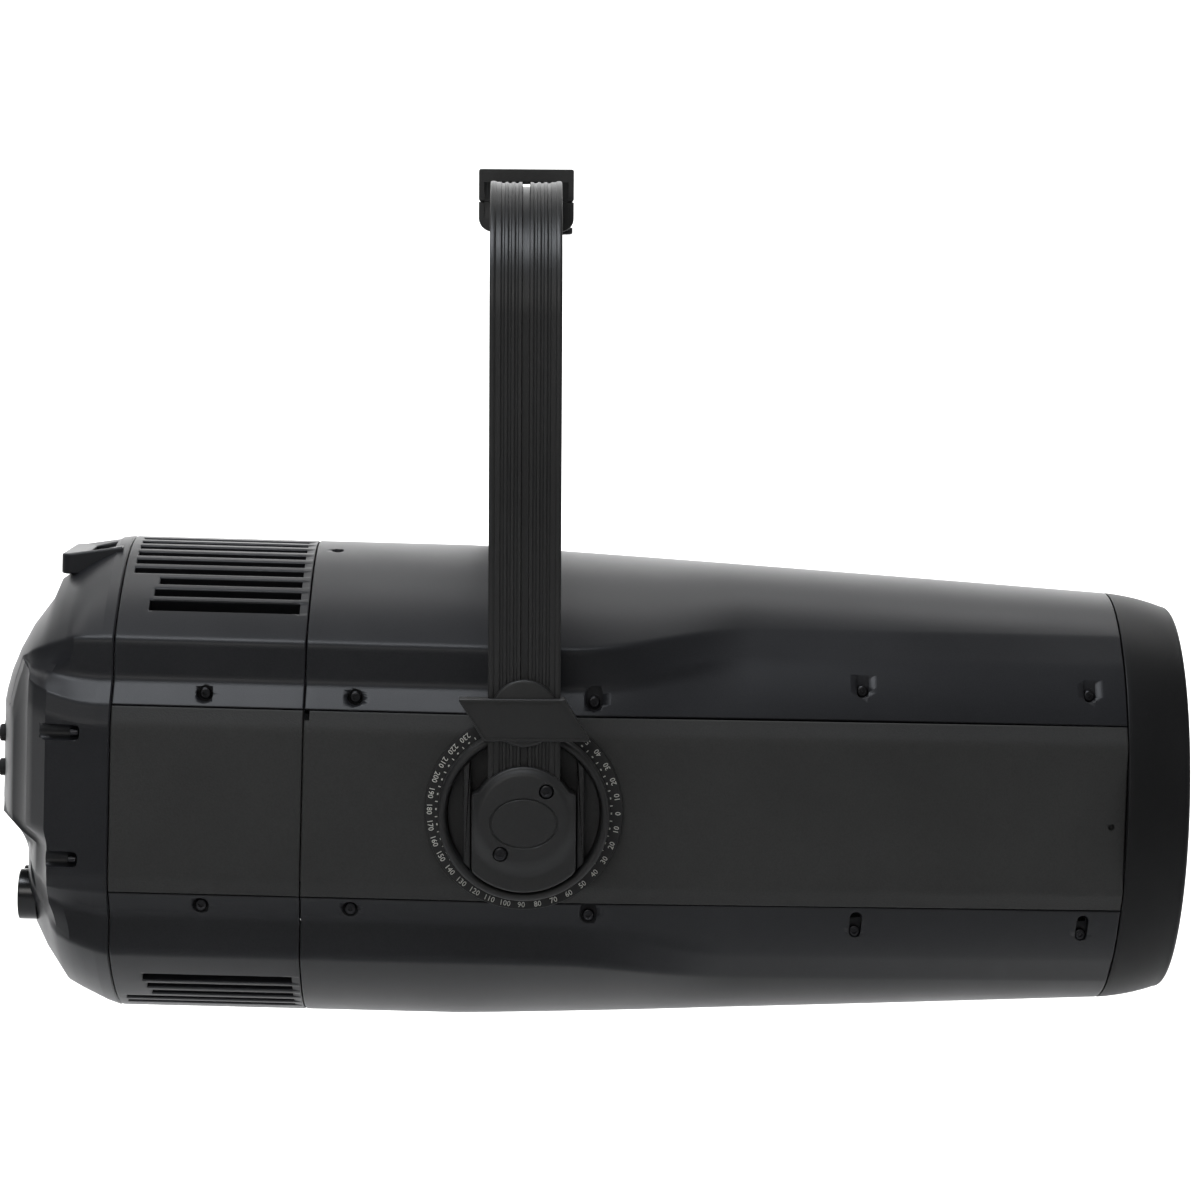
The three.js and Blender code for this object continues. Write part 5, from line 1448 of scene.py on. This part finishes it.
class LUMINAIRE_OT_inner_parts(bpy.types.Operator):
    """Finishes for the frame's own inner parts, which show through the lens, louvres and hub gaps"""
    bl_idname = "luminaire.inner_parts"
    bl_label = "Inner Parts"

    def execute(self, context):
        coats = {
            "alloy": ("heat_sink", "light_tunnel", "power_supply", "zoom_carriage"),
            "dark_alloy": ("chassis_frame", "fan_frame", "zoom_motor"),
            "steel": ("guide_rod_far", "guide_rod_near", "pivot_shaft_far", "pivot_shaft_near", "lead_screw"),
            "board": ("control_board", "led_board"),
            "rubber": ("fan_rotor", "lens_gasket"),
            "lens": ("zoom_lens",),
        }
        for key, names in coats.items():
            for name in names:
                data = frame["nodes"][name].data
                data.materials.clear()
                data.materials.append(paint(key))
        return {"FINISHED"}


# ---- stage --------------------------------------------------------------------------------------
FLOOR_DROP, FLOOR_REACH, COVE_START, COVE_BEND, WALL_HEIGHT = 0.30, 9.0, 3.2, 1.6, 7.0
CAMERA_PLACE = (0.0, -2.40387, -0.0495)
CAMERA_YAW, CAMERA_PITCH, CAMERA_ROLL = 0.0185, -0.0841, -0.0059
CAMERA_LENS = 122.6
# name, place, aim, size, watts, tone
LAMPS = (("top_softbox", (-0.45, -0.75, 1.6), (-0.15, 0.0, -0.3), (1.3, 0.6), 24, (0.90, 0.94, 1.0)),
         ("front_softbox", (-0.6, -3.2, 0.9), (0.0, 0.0, -0.3), (1.2, 1.0), 13, (1.0, 0.985, 0.96)),
         ("side_strip", (2.6, -1.2, 0.5), (0.0, 0.0, -0.3), (0.6, 1.8), 4, (1, 1, 1)),
         ("backdrop_wash", (0.0, 1.6, 2.6), (0.0, 4.4, 0.6), (4.5, 1.2), 420, (1, 1, 1)))


def lamp(name, place, aim, size, power, tone):
    """Rectangular area lamp at a place, turned to its aim."""
    data = bpy.data.lights.new(name, "AREA")
    data.shape, data.size, data.size_y, data.energy, data.color = "RECTANGLE", *size, power, tone
    holder = linked(name, data)
    holder.location = place
    holder.rotation_mode = "QUATERNION"
    holder.rotation_quaternion = (Vector(aim) - Vector(place)).to_track_quat("-Z", "Y")


def camera_axes():
    """The camera's right, up and backward directions as columns, from its yaw, pitch and roll."""
    forward = np.array((math.sin(CAMERA_YAW) * math.cos(CAMERA_PITCH),
                        math.cos(CAMERA_YAW) * math.cos(CAMERA_PITCH), math.sin(CAMERA_PITCH)))
    right = np.array((math.cos(CAMERA_YAW), -math.sin(CAMERA_YAW), 0))
    down = np.cross(forward, right)
    across = math.cos(CAMERA_ROLL) * right + math.sin(CAMERA_ROLL) * down
    drop = -math.sin(CAMERA_ROLL) * right + math.cos(CAMERA_ROLL) * down
    return Matrix(np.stack([across, -drop, -forward], 1).tolist())


class LUMINAIRE_OT_stage(bpy.types.Operator):
    """Pale floor curving up into a backdrop, soft lamps and the camera"""
    bl_idname = "luminaire.stage"
    bl_label = "Stage"

    def execute(self, context):
        scene = context.scene
        floor_z = CAD_BOX[0][2] - FLOOR_DROP
        t = np.linspace(0, math.pi / 2, 24)
        bend = np.stack([COVE_START + COVE_BEND * np.sin(t), floor_z + COVE_BEND * (1 - np.cos(t))], -1)
        profile = np.concatenate([[(-FLOOR_REACH, floor_z)], bend,
                                  [(COVE_START + COVE_BEND, floor_z + WALL_HEIGHT)]])
        ends = [np.insert(profile, 0, x, axis=1) for x in (-FLOOR_REACH, FLOOR_REACH)]
        mesh = mesh_of("studio_cove", np.stack(ends, 1).reshape(-1, 3),
                       [grid_quads(len(profile), 2)[:, ::-1]])
        mesh.polygons.foreach_set("use_smooth", np.ones(len(mesh.polygons), bool))
        pale = bpy.data.materials.new("studio_paper")
        pale.use_nodes = True
        paper = pale.node_tree.nodes["Principled BSDF"].inputs
        paper["Base Color"].default_value = (0.80, 0.80, 0.80, 1)
        paper["Roughness"].default_value = 0.9
        paper["Specular IOR Level"].default_value = 0.1
        mesh.materials.append(pale)
        cove = linked("studio_cove", mesh)

        scene.world = bpy.data.worlds.new("studio")
        scene.world.use_nodes = True
        sky = scene.world.node_tree.nodes["Background"]
        sky.inputs["Color"].default_value = (1, 1, 1, 1)
        sky.inputs["Strength"].default_value = 0.10
        for setting in LAMPS:
            lamp(*setting)

        data = bpy.data.cameras.new("camera")
        data.lens, data.sensor_width = CAMERA_LENS, 36.0
        data.clip_start, data.clip_end = 0.05, 60
        scene.camera = linked("camera", data)
        scene.camera.matrix_world = Matrix.Translation(CAMERA_PLACE) @ camera_axes().to_4x4()
        scene.view_settings.view_transform = "Standard"
        return {"FINISHED"}


# ---- panel and registration ---------------------------------------------------------------------
OPERATORS = (LUMINAIRE_OT_stage, LUMINAIRE_OT_vent_module, LUMINAIRE_OT_main_shells,
             LUMINAIRE_OT_side_panels, LUMINAIRE_OT_rear_cap,
             LUMINAIRE_OT_display_controls, LUMINAIRE_OT_connectors, LUMINAIRE_OT_carry_handle,
             LUMINAIRE_OT_front_ring, LUMINAIRE_OT_front_lens, LUMINAIRE_OT_yoke_band,
             LUMINAIRE_OT_saddle, LUMINAIRE_OT_arm_badges, LUMINAIRE_OT_tilt_dials,
             LUMINAIRE_OT_hub_cups, LUMINAIRE_OT_hub_covers, LUMINAIRE_OT_tilt_lock,
             LUMINAIRE_OT_casing_screws, LUMINAIRE_OT_inner_parts)


class LUMINAIRE_PT_panel(bpy.types.Panel):
    """Sizes, colours and build steps of the luminaire"""
    bl_idname = "LUMINAIRE_PT_panel"
    bl_label = "Luminaire"
    bl_space_type = "VIEW_3D"
    bl_region_type = "UI"
    bl_category = "Luminaire"

    def draw(self, context):
        for group in (context.scene.luminaire_casing, context.scene.luminaire_finish):
            for name in group.__annotations__:
                self.layout.prop(group, name)
        for operator in OPERATORS:
            self.layout.operator(operator.bl_idname)


CLASSES = (LuminaireCasing, LuminaireFinish, *OPERATORS, LUMINAIRE_PT_panel)


def register():
    for cls in CLASSES:
        bpy.utils.register_class(cls)
    bpy.types.Scene.luminaire_casing = PointerProperty(type=LuminaireCasing)
    bpy.types.Scene.luminaire_finish = PointerProperty(type=LuminaireFinish)


def unregister():
    del bpy.types.Scene.luminaire_casing
    del bpy.types.Scene.luminaire_finish
    for cls in reversed(CLASSES):
        bpy.utils.unregister_class(cls)


def main():
    register()
    for operator in OPERATORS:
        group, name = operator.bl_idname.split(".")
        getattr(getattr(bpy.ops, group), name)()


if __name__ == "__main__":
    main()
